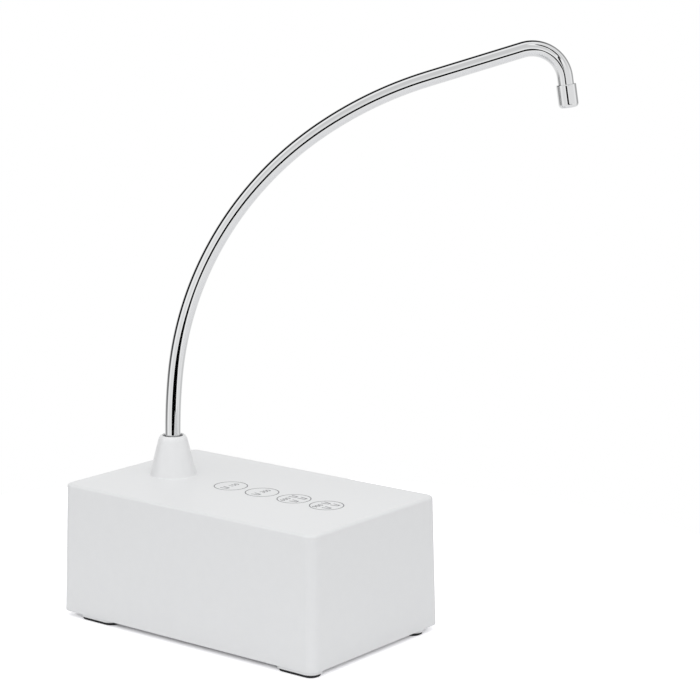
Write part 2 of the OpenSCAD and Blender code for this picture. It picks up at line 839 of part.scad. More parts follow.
module collar() {
    color(white)
        translate([0, collar_y, 0])
            difference() {
                union() {
                    translate([0, 0, body_top])
                        cylinder(d1 = collar_base_d, d2 = collar_top_d, h = collar_h);
                    translate([0, 0, shank_z])
                        cylinder(d = shank_d, h = shank_len);
                    translate([0, 0, shank_z - collar_spigot_len])
                        cylinder(d = spigot_d, h = collar_spigot_len);
                }
                translate([0, 0, mouth_z - bush_recess - bush_len])
                    cylinder(d = bush_d, h = bush_recess + bush_len + over);
                translate([0, 0, seat_z])
                    cylinder(d = swivel_bore, h = tube_insert);
                for (i = [0, 1])
                    translate([0, 0, seat_z + o_ring_low + i * o_ring_pitch])
                        cylinder(d = groove_d, h = o_ring_d + groove_spare, center = true);
                translate([0, 0, shank_z - collar_spigot_len - over])
                    cylinder(d = spigot_bore, h = seat_z - shank_z + collar_spigot_len + 2 * over);
            }
}

module hex_nut(across_flats, height, bore) {
    difference() {
        cylinder(d = across_flats / cos(30), h = height, $fn = 6);
        translate([0, 0, -over])
            cylinder(d = bore, h = height + 2 * over);
    }
}

module collar_nut() {
    color(white)
        translate([0, collar_y, ceiling_z - nut_h])
            hex_nut(nut_af, nut_h, shank_d);
}

module spout_bush() {
    color(dark_grey)
        translate([0, collar_y, mouth_z - bush_recess - bush_len])
            difference() {
                cylinder(d = bush_d, h = bush_len);
                translate([0, 0, -over])
                    cylinder(d = swivel_bore, h = bush_len + 2 * over);
            }
}

module spout_o_rings() {
    color(black)
        for (i = [0, 1])
            translate([0, collar_y, seat_z + o_ring_low + i * o_ring_pitch])
                rotate_extrude()
                    translate([(swivel_bore + o_ring_d) / 2, 0])
                        circle(d = o_ring_d);
}

// Moves its children to the spout's own frame: Z up the tube, X the way it leans
module on_spout() {
    translate([0, collar_y, tube_end_z])
        rotate([0, 0, swing - 90])
            children();
}

module spout_tube() {
    color(bright)
        on_spout()
            pipe(spout_steps, tube_d, tube_bore, band_len);
}

module nozzle_profile() {
    lip_r = tube_bore / 2;
    difference() {
        union() {
            translate([0, nozzle_edge_r])
                square([nozzle_d / 2, nozzle_len - nozzle_edge_r]);
            square([nozzle_d / 2 - nozzle_edge_r, nozzle_edge_r]);
            translate([nozzle_d / 2 - nozzle_edge_r, nozzle_edge_r])
                circle(nozzle_edge_r);
        }
        translate([-over, nozzle_lip])
            square([tube_d / 2 + over, nozzle_len]);
        translate([-over, -over])
            square([lip_r + over, nozzle_lip + 2 * over]);
    }
}

module nozzle() {
    color(bright)
        on_spout()
            pipe_end(spout_steps)
                translate([0, 0, nozzle_lip])
                    rotate([180, 0, 0])
                        rotate_extrude()
                            nozzle_profile();
}

module stream_former() {
    hole_ring_r = tube_bore / 2 - former_hole_d;
    color(grey)
        on_spout()
            pipe_end(spout_steps)
                translate([0, 0, -former_len])
                    difference() {
                        cylinder(d = tube_bore, h = former_len);
                        translate([0, 0, -over])
                            cylinder(d = former_hole_d, h = former_len + 2 * over);
                        for (i = [0 : 5])
                            rotate([0, 0, 60 * i])
                                translate([hole_ring_r, 0, -over])
                                    cylinder(d = former_hole_d, h = former_len + 2 * over);
                    }
}

module outlet_hose() {
    color(silicone)
        facing_back(outlet_x, hose_start_y, port_z)
            pipe([[spigot_len - hose_end_gap, hose_bend_r, 90, -90],
                  [hose_top_z - hose_bend_end_z, 0, 0, 0]], hose_d, spigot_d);
}

module inlet_hose() {
    color(silicone)
        facing_back(inlet_x, hose_start_y, port_z)
            pipe([[inlet_hose_len, 0, 0, 0]], hose_d, spigot_d);
}

module inlet_fitting() {
    color(white)
        facing_back(inlet_x, 0, port_z)
            difference() {
                union() {
                    translate([0, 0, half_y])
                        cylinder(d = flange_d, h = flange_thk);
                    translate([0, 0, half_y])
                        cylinder(d = jug_spigot_d, h = flange_thk + jug_spigot_len);
                    translate([0, 0, fitting_end_y])
                        cylinder(d = fitting_shank_d, h = fitting_shank_len);
                    translate([0, 0, fitting_end_y - spigot_len])
                        cylinder(d = spigot_d, h = spigot_len);
                }
                translate([0, 0, fitting_end_y - spigot_len - over])
                    cylinder(d = spigot_bore,
                             h = spigot_len + fitting_shank_len + flange_thk + jug_spigot_len + 2 * over);
            }
}

module inlet_nut() {
    color(white)
        facing_back(inlet_x, boss_face_y - inlet_nut_h, port_z)
            hex_nut(inlet_nut_af, inlet_nut_h, fitting_shank_d);
}

module hose_clip() {
    linear_extrude(clip_wid)
        pipe_section(hose_d + 2 * clip_thk, hose_d);
}

module hose_clips() {
    color(steel) {
        for (x = [inlet_x, outlet_x])
            facing_back(x, hose_start_y + clip_inset, port_z)
                hose_clip();
        facing_back(inlet_x, hose_start_y + inlet_hose_len - clip_inset - clip_wid, port_z)
            hose_clip();
        translate([outlet_x, collar_y, hose_top_z - clip_inset - clip_wid])
            hose_clip();
    }
}

// Moves its children to the pump's middle, their own Z along +Y from y and their Y down
module on_pump(y) {
    facing_back(motor_x, y, port_z)
        children();
}

module pump_outline() {
    square([2 * pump_half_x, 2 * pump_half_z], center = true);
}

module chamber_outline() {
    for (side = [-1, 1]) {
        translate([0, side * pitch_r])
            circle(chamber_r);
        translate([side * port_pitch / 2, 0])
            circle(d = spigot_bore);
    }
    square([port_pitch, spigot_bore], center = true);
}

module at_pump_screws() {
    for (sx = [-1, 1], sy = [-1, 1])
        translate([sx * (pump_half_x - pump_screw_inset), sy * (pump_half_z - pump_screw_inset)])
            children();
}

module pump_body() {
    depth = gasket_y - motor_face_y;
    color(grey)
        difference() {
            union() {
                on_pump(motor_face_y)
                    linear_extrude(depth)
                        pump_outline();
                on_motor_axis(motor_face_y - socket_depth)
                    cylinder(d = can_d + 2 * socket_wall, h = socket_depth);
                on_motor_axis(motor_face_y - over / 2)
                    cylinder(d = can_d + 2 * socket_wall, h = pump_back / 2);
            }
            on_motor_axis(motor_face_y - socket_depth - over)
                cylinder(d = can_d, h = socket_depth + over);
            on_pump(chamber_y)
                linear_extrude(depth)
                    chamber_outline();
            on_motor_axis(motor_face_y - over)
                cylinder(d = bearing_boss_d + 2 * boss_gap, h = bearing_boss_len + boss_gap + over);
            on_motor_axis(motor_face_y)
                cylinder(d = shaft_d + 2 * shaft_gap, h = pump_back + over);
            on_motor_axis(chamber_y - seal_thk)
                cylinder(d = seal_d, h = seal_thk + over);
            facing_back(motor_x, chamber_y - pin_depth, driven_z)
                cylinder(d = pin_d, h = pin_depth + over);
            on_pump(pump_face_y - pump_screw_len)
                linear_extrude(pump_screw_len)
                    at_pump_screws()
                        circle(d = pump_screw_d);
        }
}

module pump_cover() {
    color(grey)
        difference() {
            union() {
                on_pump(pump_face_y - cover_thk)
                    linear_extrude(cover_thk)
                        pump_outline();
                for (x = [inlet_x, outlet_x])
                    facing_back(x, pump_face_y - cover_thk / 2, port_z)
                        cylinder(d = spigot_d, h = cover_thk / 2 + spigot_len);
            }
            for (x = [inlet_x, outlet_x])
                facing_back(x, pump_face_y - cover_thk - over, port_z)
                    cylinder(d = spigot_bore, h = cover_thk + spigot_len + 2 * over);
            facing_back(motor_x, pump_face_y - cover_thk - over, driven_z)
                cylinder(d = pin_d, h = pin_depth + over);
            on_pump(pump_face_y - cover_thk - over)
                linear_extrude(cover_thk + 2 * over)
                    at_pump_screws()
                        circle(d = pump_screw_d + 2 * screw_clear);
        }
}

module pump_gasket() {
    color(black)
        on_pump(gasket_y)
            linear_extrude(gasket_thk)
                difference() {
                    pump_outline();
                    chamber_outline();
                    at_pump_screws()
                        circle(d = pump_screw_d + 2 * screw_clear);
                }
}

module pump_screws() {
    color(steel)
        on_pump(pump_face_y)
            at_pump_screws()
                mirror([0, 0, 1])
                    screw(pump_screw_d, pump_screw_len, pump_screw_head_d, pump_screw_head_h);
}

function involute(angle) = tan(angle) * 180 / PI - angle;
function flank_angle(r) =
    half_tooth + involute(pressure_angle) - involute(acos(min(1, tooth_base_r / r)));
function on_circle(r, angle) = [r * cos(angle), r * sin(angle)];
function flank(side, angle) = [
    on_circle(root_r, angle + side * flank_angle(tooth_base_r)),
    for (i = [0 : flank_points])
        let (r = tooth_base_r + (tip_r - tooth_base_r) * i / flank_points)
            on_circle(r, angle + side * flank_angle(r))
];
function reversed(list) = [for (i = [len(list) - 1 : -1 : 0]) list[i]];

// Gear outline with its first tooth turned to the given angle
module gear_outline(turn) {
    polygon([
        for (i = [0 : gear_teeth - 1])
            let (angle = turn + 360 * i / gear_teeth)
                each concat(flank(-1, angle), reversed(flank(1, angle)))
    ]);
}

module drive_gear() {
    color(white)
        on_motor_axis(gear_y)
            linear_extrude(gear_face)
                difference() {
                    gear_outline(-90);
                    circle(d = shaft_d);
                }
}

// A gap of this gear faces the drive gear's tooth on the line of centres
module driven_gear() {
    color(white)
        facing_back(motor_x, gear_y, driven_z)
            linear_extrude(gear_face)
                difference() {
                    gear_outline(90 + 180 / gear_teeth);
                    circle(d = pin_d + 2 * shaft_clear);
                }
}

module idler_pin() {
    color(steel)
        facing_back(motor_x, chamber_y - pin_depth, driven_z)
            cylinder(d = pin_d, h = gear_face + 2 * side_gap + 2 * pin_depth);
}

module shaft_seal() {
    color(black)
        on_motor_axis(chamber_y - seal_thk)
            linear_extrude(seal_thk)
                pipe_section(seal_d, shaft_d + 2 * shaft_clear);
}

module motor_can() {
    color(steel)
        difference() {
            union() {
                on_motor_axis(can_rear_y)
                    cylinder(d = can_d, h = can_len);
                on_motor_axis(motor_face_y - can_wall)
                    cylinder(d = bearing_boss_d, h = can_wall + bearing_boss_len);
            }
            on_motor_axis(can_rear_y - over)
                cylinder(d = can_bore, h = can_len - can_wall + over);
            on_motor_axis(motor_face_y - can_wall - over)
                cylinder(d = bearing_d, h = can_wall + bearing_boss_len + 2 * over);
        }
}

module motor_endcap() {
    color(black)
        difference() {
            union() {
                on_motor_axis(can_rear_y)
                    cylinder(d = can_bore, h = endcap_thk);
                on_motor_axis(shaft_rear_y)
                    cylinder(d = bearing_boss_d, h = bearing_boss_len + endcap_thk);
            }
            on_motor_axis(shaft_rear_y - over)
                cylinder(d = bearing_d, h = bearing_len + over);
            on_motor_axis(shaft_rear_y)
                cylinder(d = shaft_d + 2 * shaft_gap, h = bearing_boss_len + endcap_thk + over);
        }
}

module motor_magnets() {
    color(dark_grey)
        on_motor_axis(magnet_y)
            for (turn = [0, 180])
                rotate([0, 0, turn - magnet_arc / 2])
                    rotate_extrude(angle = magnet_arc)
                        translate([can_bore / 2 - magnet_thk, 0])
                            square([magnet_thk, magnet_len]);
}

module motor_terminals() {
    color(brass)
        for (side = [-1, 1])
            translate([motor_x + side * terminal_x - terminal_wid / 2, can_rear_y - terminal_len,
                       motor_z - terminal_thk / 2])
                cube([terminal_wid, terminal_len, terminal_thk]);
}

module motor_brushes() {
    brush_x = commutator_d / 2 + brush_gap;
    color(copper)
        for (side = [-1, 1])
            translate([motor_x + side * (brush_x + brush_thk / 2) - brush_thk / 2, endcap_y,
                       motor_z - brush_wid / 2])
                cube([brush_thk, commutator_y + commutator_len - endcap_y, brush_wid]);
}

module bearing(y) {
    color(bronze)
        on_motor_axis(y)
            linear_extrude(bearing_len)
                pipe_section(bearing_d, shaft_d + 2 * shaft_clear);
}

module front_bearing() {
    bearing(motor_face_y + bearing_boss_len - bearing_len);
}

module rear_bearing() {
    bearing(shaft_rear_y);
}

module motor_shaft() {
    color(steel)
        on_motor_axis(shaft_rear_y)
            cylinder(d = shaft_d, h = gear_y + gear_face - shaft_rear_y);
}

module rotor_core() {
    color(dark_grey)
        on_motor_axis(stack_y)
            linear_extrude(stack_len)
                difference() {
                    circle(d = rotor_d);
                    circle(d = shaft_d);
                    for (turn = [0 : 120 : 240])
                        rotate(turn)
                            translate([rotor_d / 2 - slot_depth, -slot_w / 2])
                                square([slot_depth + over, slot_w]);
                }
}

module rotor_windings() {
    color(copper)
        for (y = [front_winding_y - winding_len, rear_winding_y])
            on_motor_axis(y)
                linear_extrude(winding_len)
                    pipe_section(rotor_d - 2 * winding_inset, shaft_d);
}

module commutator() {
    color(copper)
        on_motor_axis(commutator_y)
            linear_extrude(commutator_len)
                pipe_section(commutator_d, shaft_d);
}

module motor_saddle() {
    color(black)
        difference() {
            translate([motor_x - saddle_wid / 2, can_mid_y - saddle_len / 2, base_z])
                cube([saddle_wid, saddle_len, motor_z - saddle_drop - base_z]);
            on_motor_axis(can_rear_y - over)
                cylinder(d = can_d, h = can_len + 2 * over);
        }
}

module strap_outline() {
    outer_r = can_d / 2 + strap_thk;
    leg_h = motor_z - strap_post_z;
    intersection() {
        pipe_section(2 * outer_r, can_d);
        translate([-outer_r - over, 0])
            square([2 * outer_r + 2 * over, outer_r + over]);
    }
    for (side = [0, 1])
        mirror([side, 0]) {
            translate([can_d / 2, -leg_h])
                square([strap_thk, leg_h]);
            translate([can_d / 2, -leg_h])
                square([strap_thk + ear_len, strap_thk]);
        }
}

module motor_strap() {
    color(white)
        difference() {
            translate([motor_x, can_mid_y + strap_wid / 2, motor_z])
                rotate([90, 0, 0])
                    linear_extrude(strap_wid)
                        strap_outline();
            at_strap_screws()
                translate([0, 0, strap_post_z - over])
                    cylinder(d = small_screw_d + 2 * screw_clear, h = strap_thk + 2 * over);
        }
}

module strap_screws() {
    color(steel)
        at_strap_screws()
            translate([0, 0, strap_post_z + strap_thk])
                mirror([0, 0, 1])
                    screw(small_screw_d, small_screw_len, small_head_d, small_head_h);
}

module battery_cell(z) {
    color(blue)
        translate([-cell_len / 2, cell_y, z])
            rotate([0, 90, 0])
                cylinder(d = cell_d, h = cell_len);
}

module battery_cell_lower() {
    battery_cell(lower_cell_z);
}

module battery_cell_upper() {
    battery_cell(upper_cell_z);
}

// Open tray with two taller cheeks that hold the upper cell
module battery_tray() {
    tray_wid = tray_rear_y - tray_front_y;
    cheek_len = cell_len - 2 * cheek_inset;
    color(grey) {
        translate([-tray_half_x, tray_front_y, base_z])
            difference() {
                cube([2 * tray_half_x, tray_wid, tray_h]);
                translate([tray_wall, tray_wall, tray_wall])
                    cube([2 * (tray_half_x - tray_wall), tray_wid - 2 * tray_wall, tray_h]);
            }
        for (y = [tray_front_y, tray_rear_y - tray_wall])
            translate([-cheek_len / 2, y, base_z])
                cube([cheek_len, tray_wall, upper_cell_z + cheek_rise - base_z]);
    }
}

module cell_tabs() {
    tab_y = cell_y - tab_wid / 2;
    color(steel) {
        translate([-cell_len / 2 - tab_thk, tab_y, lower_cell_z - tab_wid / 2])
            cube([tab_thk, tab_wid, cell_pitch + tab_wid]);
        for (z = [lower_cell_z, upper_cell_z])
            translate([cell_len / 2, tab_y, z - tab_wid / 2]) {
                cube([tab_thk, tab_wid, tab_wid]);
                translate([0, 0, tab_wid - tab_ear_thk])
                    cube([tab_ear_len, tab_wid, tab_ear_thk]);
            }
    }
}

module control_board() {
    color(green)
        difference() {
            translate([board_x, board_front_y, board_z])
                cube([board_wid, board_len, board_thk]);
            at_board_screws()
                translate([0, 0, board_z - over])
                    cylinder(d = small_screw_d + 2 * screw_clear, h = board_thk + 2 * over);
        }
}

// Plug socket on the control board, centred on x and y
module plug_socket(x, y) {
    translate([x - socket_wid / 2, y - socket_len / 2, board_top_z])
        cube([socket_wid, socket_len, socket_h]);
}

module board_parts() {
    color(black) {
        plug_socket(motor_socket_x, socket_row_y + lead_spacing / 2);
        plug_socket(cell_lead_x, socket_row_y + lead_spacing / 2);
        plug_socket(ribbon_x, ribbon_socket_y + socket_len / 2);
        translate([board_mid_x - chip_wid / 2, board_mid_y, board_top_z])
            cube([chip_wid, chip_wid, chip_h]);
        translate([board_mid_x - board_part_x - coil_wid / 2, board_mid_y + board_part_y - coil_wid / 2,
                   board_top_z])
            cube([coil_wid, coil_wid, coil_h]);
        translate([board_mid_x + board_part_x, board_mid_y + board_part_y, board_top_z])
            cylinder(d = capacitor_d, h = capacitor_h);
    }
}

module board_screws() {
    color(steel)
        at_board_screws()
            translate([0, 0, board_top_z])
                mirror([0, 0, 1])
                    screw(small_screw_d, small_screw_len, small_head_d, small_head_h);
}

module charge_shell() {
    color(bright)
        facing_back(charge_x, charge_mouth_y - charge_len, charge_z)
            linear_extrude(charge_len)
                difference() {
                    round_slot(charge_wid, charge_h);
                    round_slot(charge_wid - 2 * charge_wall, charge_h - 2 * charge_wall);
                }
}

module charge_tongue() {
    color(black)
        facing_back(charge_x, charge_mouth_y - charge_len, charge_z) {
            linear_extrude(tongue_back)
                round_slot(charge_wid - 2 * charge_wall, charge_h - 2 * charge_wall);
            translate([-tongue_wid / 2, -tongue_thk / 2, tongue_back])
                cube([tongue_wid, tongue_thk, charge_len - tongue_back - tongue_recess]);
        }
}

module touch_board() {
    color(green)
        difference() {
            union() {
                translate([-touch_wid / 2, touch_front_y, touch_z])
                    cube([touch_wid, touch_rear_y - touch_front_y, board_thk]);
                translate([touch_wid / 2 - socket_wid, ribbon_socket_y, touch_z - socket_h])
                    cube([socket_wid, socket_len, socket_h]);
            }
            for (i = [0 : key_count - 1])
                translate([0, first_key_y - i * key_pitch, touch_z - over])
                    cylinder(d = electrode_d, h = electrode_depth + over);
        }
}

module motor_lead(side, end_y) {
    start_x = motor_x + side * terminal_x;
    start_y = can_rear_y - terminal_joint;
    start_z = motor_z + terminal_thk / 2;
    translate([start_x, start_y, start_z])
        pipe([
            [lead_run_z - start_z - lead_bend_r, lead_bend_r, 90, 90],
            [end_y - start_y - 2 * lead_bend_r, lead_bend_r, 90, -90],
            [motor_socket_x - start_x - 2 * lead_bend_r, lead_bend_r, 90, 90],
            [lead_run_z - lead_bend_r - socket_z, 0, 0, 0]
        ], lead_d);
}

module motor_leads() {
    color("firebrick") {
        motor_lead(1, socket_row_y);
        motor_lead(-1, socket_row_y + lead_spacing);
    }
}

// Lead from the back of a tab's ear to the board, where it bends down into the socket
module battery_lead(cell_z, end_y) {
    start_y = cell_y + tab_wid / 2;
    start_z = cell_z + (tab_wid - tab_ear_thk) / 2;
    facing_back(cell_lead_x, start_y, start_z)
        pipe([
            [end_y - start_y - lead_bend_r, lead_bend_r, 90, 90],
            [start_z - lead_bend_r - socket_z, 0, 0, 0]
        ], lead_d);
}

module battery_leads() {
    color("firebrick") {
        battery_lead(lower_cell_z, socket_row_y);
        battery_lead(upper_cell_z, socket_row_y + lead_spacing);
    }
}

module ribbon_outline() {
    start_x = touch_wid / 2;
    bend_x = ribbon_x - ribbon_r;
    bend_z = ribbon_z - ribbon_r;
    translate([start_x, ribbon_z - ribbon_thk / 2])
        square([bend_x - start_x, ribbon_thk]);
    intersection() {
        translate([bend_x, bend_z])
            pipe_section(2 * ribbon_r + ribbon_thk, 2 * ribbon_r - ribbon_thk);
        translate([bend_x, bend_z])
            square(2 * ribbon_r);
    }
    translate([ribbon_x - ribbon_thk / 2, socket_z])
        square([ribbon_thk, bend_z - socket_z]);
}

module touch_ribbon() {
    color(grey)
        translate([0, ribbon_y + ribbon_wid, 0])
            rotate([90, 0, 0])
                linear_extrude(ribbon_wid)
                    ribbon_outline();
}

housing();
base_plate();
foot_front_left();
foot_front_right();
foot_rear_left();
foot_rear_right();
base_screws();
collar();
collar_nut();
spout_bush();
spout_o_rings();
spout_tube();
nozzle();
stream_former();
outlet_hose();
inlet_hose();
inlet_fitting();
inlet_nut();
hose_clips();
pump_body();
pump_cover();
pump_gasket();
pump_screws();
drive_gear();
driven_gear();
idler_pin();
shaft_seal();
motor_can();
motor_endcap();
motor_magnets();
motor_terminals();
motor_brushes();
front_bearing();
rear_bearing();
motor_shaft();
rotor_core();
rotor_windings();
commutator();
motor_saddle();
motor_strap();
strap_screws();
battery_cell_lower();
battery_cell_upper();
battery_tray();
cell_tabs();
control_board();
board_parts();
board_screws();
charge_shell();
charge_tongue();
touch_board();
motor_leads();
battery_leads();
touch_ribbon();
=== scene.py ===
from math import cos, pi, radians, sin

import bmesh
import bpy
from mathutils import Matrix, Vector


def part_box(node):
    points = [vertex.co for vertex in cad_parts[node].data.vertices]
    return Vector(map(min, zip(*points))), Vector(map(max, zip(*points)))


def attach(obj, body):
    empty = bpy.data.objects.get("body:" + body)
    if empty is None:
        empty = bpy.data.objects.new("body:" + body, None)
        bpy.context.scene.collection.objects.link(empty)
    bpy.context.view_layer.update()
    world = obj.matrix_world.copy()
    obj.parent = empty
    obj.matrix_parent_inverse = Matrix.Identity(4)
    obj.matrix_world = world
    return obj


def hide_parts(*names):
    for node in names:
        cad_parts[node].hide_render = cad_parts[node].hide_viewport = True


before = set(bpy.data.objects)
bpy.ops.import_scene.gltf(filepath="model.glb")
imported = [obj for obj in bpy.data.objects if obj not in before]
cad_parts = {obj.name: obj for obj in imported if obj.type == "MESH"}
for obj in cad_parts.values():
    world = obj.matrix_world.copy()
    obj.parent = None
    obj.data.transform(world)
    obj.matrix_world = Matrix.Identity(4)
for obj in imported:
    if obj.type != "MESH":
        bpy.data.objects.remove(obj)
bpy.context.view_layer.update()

# Camera. It stands off the body's left front edge, a little higher than the spout's top, with a long lens,
# and it looks almost square at the plane in which the spout is bent.
MM = 0.001
CAMERA_PLACE = Vector((-834.8, -715.7, 351.2)) * MM
CAMERA_AZIMUTH, CAMERA_ELEVATION, CAMERA_ROLL = radians(-52.03), radians(10.89), radians(0.14)
SENSOR_WIDTH, FOCAL_LENGTH, NEAREST_SEEN = 36, 116.6, 0.05
scene = bpy.context.scene
scene.view_settings.view_transform = "Standard"
lens = bpy.data.cameras.new("camera")
lens.sensor_width = SENSOR_WIDTH
lens.lens = FOCAL_LENGTH
lens.clip_start = NEAREST_SEEN
camera = bpy.data.objects.new("camera", lens)
scene.collection.objects.link(camera)
camera.matrix_world = (Matrix.Translation(CAMERA_PLACE) @ Matrix.Rotation(CAMERA_AZIMUTH, 4, "Z")
                       @ Matrix.Rotation(pi / 2 - CAMERA_ELEVATION, 4, "X")
                       @ Matrix.Rotation(CAMERA_ROLL, 4, "Z"))
scene.camera = camera

# Table. A round white table top, smooth and matt, on which the pump stands. The camera sees it lifted to
# white by a glow, and the pump's real shadow stays on it. Close to the pump an ambient-occlusion mask cuts the
# glow back, which paints a tight dark contact shadow along the pump's foot.
TABLE_R, TABLE_SIDES = 0.3, 96
TABLE_TONE, LIFT_TONE = (0.88, 0.88, 0.89, 1), (0.98, 0.975, 1, 1)
SEEN_LIFT, MIRRORED_LIFT = 0.5, 0.07
# Reach and soft edge of the painted contact shadow, taken from ambient occlusion.
PAINTED_SHADOW_REACH, PAINTED_SHADOW_EDGE = 0.05, (0.01, 0.2)
SHARP_ANGLE = radians(35)


def circle_loop(radius, z, centre, sides):
    """Points round a circle at a height, from the +X side anticlockwise."""
    return [(centre[0] + radius * cos(2 * pi * i / sides), centre[1] + radius * sin(2 * pi * i / sides), z)
            for i in range(sides)]


def new_mesh(name, points, faces):
    """A mesh with its faces turned outwards, smooth but for its real edges."""
    shape = bmesh.new()
    corners = [shape.verts.new(point) for point in points]
    for face in faces:
        shape.faces.new([corners[i] for i in face])
    bmesh.ops.recalc_face_normals(shape, faces=shape.faces)
    mesh = bpy.data.meshes.new(name)
    shape.to_mesh(mesh)
    shape.free()
    mesh.shade_smooth()
    mesh.set_sharp_from_angle(angle=SHARP_ANGLE)
    return mesh


def new_object(name, mesh, material):
    """A piece of the scene from a mesh and its finish."""
    piece = bpy.data.objects.new(name, mesh)
    scene.collection.objects.link(piece)
    piece.data.materials.append(material)
    return piece


def soft_step(share, start, end):
    """0 up to start and 1 from end, with a soft edge between, as a socket of the tree at hand."""
    step = tree.nodes.new("ShaderNodeMapRange")
    step.interpolation_type = "SMOOTHSTEP"
    tree.links.new(share, step.inputs["Value"])
    step.inputs["From Min"].default_value = start
    step.inputs["From Max"].default_value = end
    return step.outputs["Result"]


def combined(operation, *terms):
    """A sum, product or other operation of sockets and plain numbers, as a socket of the tree at hand."""
    result = tree.nodes.new("ShaderNodeMath")
    result.operation = operation
    for place, term in zip(result.inputs, terms):
        if isinstance(term, (int, float)):
            place.default_value = term
        else:
            tree.links.new(term, place)
    return result.outputs[0]


def ray_share(kind, other=None):
    """1 for rays of one kind or of either of two, else 0, as a socket of the tree at hand."""
    path = tree.nodes.new("ShaderNodeLightPath")
    return combined("MAXIMUM", path.outputs[kind], path.outputs[other]) if other else path.outputs[kind]


table_white = bpy.data.materials.new("table_white")
table_white.use_nodes = True
tree = table_white.node_tree
tree.nodes.remove(tree.nodes["Principled BSDF"])
matt = tree.nodes.new("ShaderNodeBsdfDiffuse")
matt.inputs["Color"].default_value = TABLE_TONE
lift = tree.nodes.new("ShaderNodeEmission")
lift.inputs["Color"].default_value = LIFT_TONE
# Painted shadow: ambient occlusion within a short reach dims the camera's glow next to the pump.
painted_shadow_ao = tree.nodes.new("ShaderNodeAmbientOcclusion")
painted_shadow_ao.inputs["Distance"].default_value = PAINTED_SHADOW_REACH
mirrored = combined("MULTIPLY", ray_share("Is Glossy Ray", "Is Transmission Ray"), MIRRORED_LIFT)
glow_outside_painted_shadow = combined("MULTIPLY", ray_share("Is Camera Ray"), soft_step(painted_shadow_ao.outputs["AO"], *PAINTED_SHADOW_EDGE))
tree.links.new(combined("MULTIPLY_ADD", glow_outside_painted_shadow, SEEN_LIFT, mirrored), lift.inputs["Strength"])
both = tree.nodes.new("ShaderNodeAddShader")
tree.links.new(matt.outputs[0], both.inputs[0])
tree.links.new(lift.outputs[0], both.inputs[1])
tree.links.new(both.outputs[0], tree.nodes["Material Output"].inputs["Surface"])
table_edge = circle_loop(TABLE_R, 0, (0, 0), TABLE_SIDES)
table = new_object("table", new_mesh("table", table_edge, [range(TABLE_SIDES)]), table_white)

# Studio. White walls of even light, a wide soft lamp overhead and a weaker one behind the camera. Bright metal
# mirrors the room: the dark stand under the camera with its bent arm, the unlit gap behind the lamps, and the
# light rims round both.
AMBIENT = 0.735
WHITE = (1, 1, 1, 1)
# Each part of the stand is an oval: degrees right of the camera and above the floor, half width, half height
# and tilt. Its edge and its rim are soft steps over the distance from its middle, which is 1 at its edge.
STAND_PARTS = ((2, -15, 6.5, 13, 0), (-6, -12, 9, 3.5, 0), (5, -11.8, 20, 3.8, 15), (24, -14.4, 22, 3, 0),
               (-4, -6.5, 10, 3, 8), (20, 12.5, 2.5, 20, 44), (39, 38, 8, 14, 5), (27, 53, 9, 13, -50))
STAND_EDGE, STAND_RIM, STAND_SIDE = (1.15, 0.85), (2, 1.6), (0, 0.1)
NO_DEPTH = 100
# The gap is a band round an axis, by how far a direction points along it, and it fades to the floor and to
# the right.
GAP_AXIS = (9, 10.89)
GAP_BAND, GAP_RIM = ((-0.82, -0.66), (-0.14, 0)), ((-0.2, 0), (0.25, 0.5))
GAP_FOOT, GAP_LEFT, GAP_RIGHT_SHARE = (-0.6, 0.08), (0.6, 0), 0.5
RIM_GAIN = 0.2
CEILING_RISE, CEILING_LOSS = (0.15, 0.5), 0.18
OVERHEAD_SIZE, OVERHEAD_WATTS, OVERHEAD_PLACE = 1.2, 6.8, Vector((-0.15, -0.1, 1.5))
FRONT_SIZE, FRONT_WATTS, FRONT_RISE, FRONT_DISTANCE = 0.8, 3, 30, 1.5
room = bpy.data.worlds.new("studio")
room.use_nodes = True
scene.world = room
tree = room.node_tree
direction = tree.nodes.new("ShaderNodeTexCoord").outputs["Generated"]


def along(axis):
    """How far a direction points along an axis, from -1 to 1, as a socket."""
    share = tree.nodes.new("ShaderNodeVectorMath")
    share.operation = "DOT_PRODUCT"
    tree.links.new(direction, share.inputs[0])
    share.inputs[1].default_value = axis
    return share.outputs["Value"]


def towards(azimuth, elevation):
    """A turn that points -Y to a place in the room, in degrees right of the camera and above the floor."""
    return (Matrix.Rotation(CAMERA_AZIMUTH + radians(azimuth), 3, "Z")
            @ Matrix.Rotation(-radians(elevation), 3, "X"))


def from_middle(azimuth, elevation, half_width, half_height, tilt):
    """How far a direction is from the middle of a tilted oval, 1 at its edge."""
    local = tree.nodes.new("ShaderNodeMapping")
    local.vector_type = "TEXTURE"
    turn = towards(azimuth, elevation) @ Matrix.Rotation(radians(tilt), 3, "Y")
    local.inputs["Rotation"].default_value = turn.to_euler()
    local.inputs["Scale"].default_value = (sin(radians(half_width)), NO_DEPTH, sin(radians(half_height)))
    tree.links.new(direction, local.inputs["Vector"])
    distance = tree.nodes.new("ShaderNodeVectorMath")
    distance.operation = "LENGTH"
    tree.links.new(local.outputs[0], distance.inputs[0])
    return distance.outputs["Value"]


def band(share, edges):
    """1 between two soft edges, else 0."""
    return combined("SUBTRACT", soft_step(share, *edges[0]), soft_step(share, *edges[1]))


def white_light(level):
    """A white background of one level."""
    light = tree.nodes.new("ShaderNodeBackground")
    light.inputs["Color"].default_value = WHITE
    light.inputs["Strength"].default_value = level
    return light


def mixed(share, first, second):
    """One shader where a share is 0 and another where it is 1."""
    mix = tree.nodes.new("ShaderNodeMixShader")
    tree.links.new(share, mix.inputs[0])
    tree.links.new(first.outputs[0], mix.inputs[1])
    tree.links.new(second.outputs[0], mix.inputs[2])
    return mix


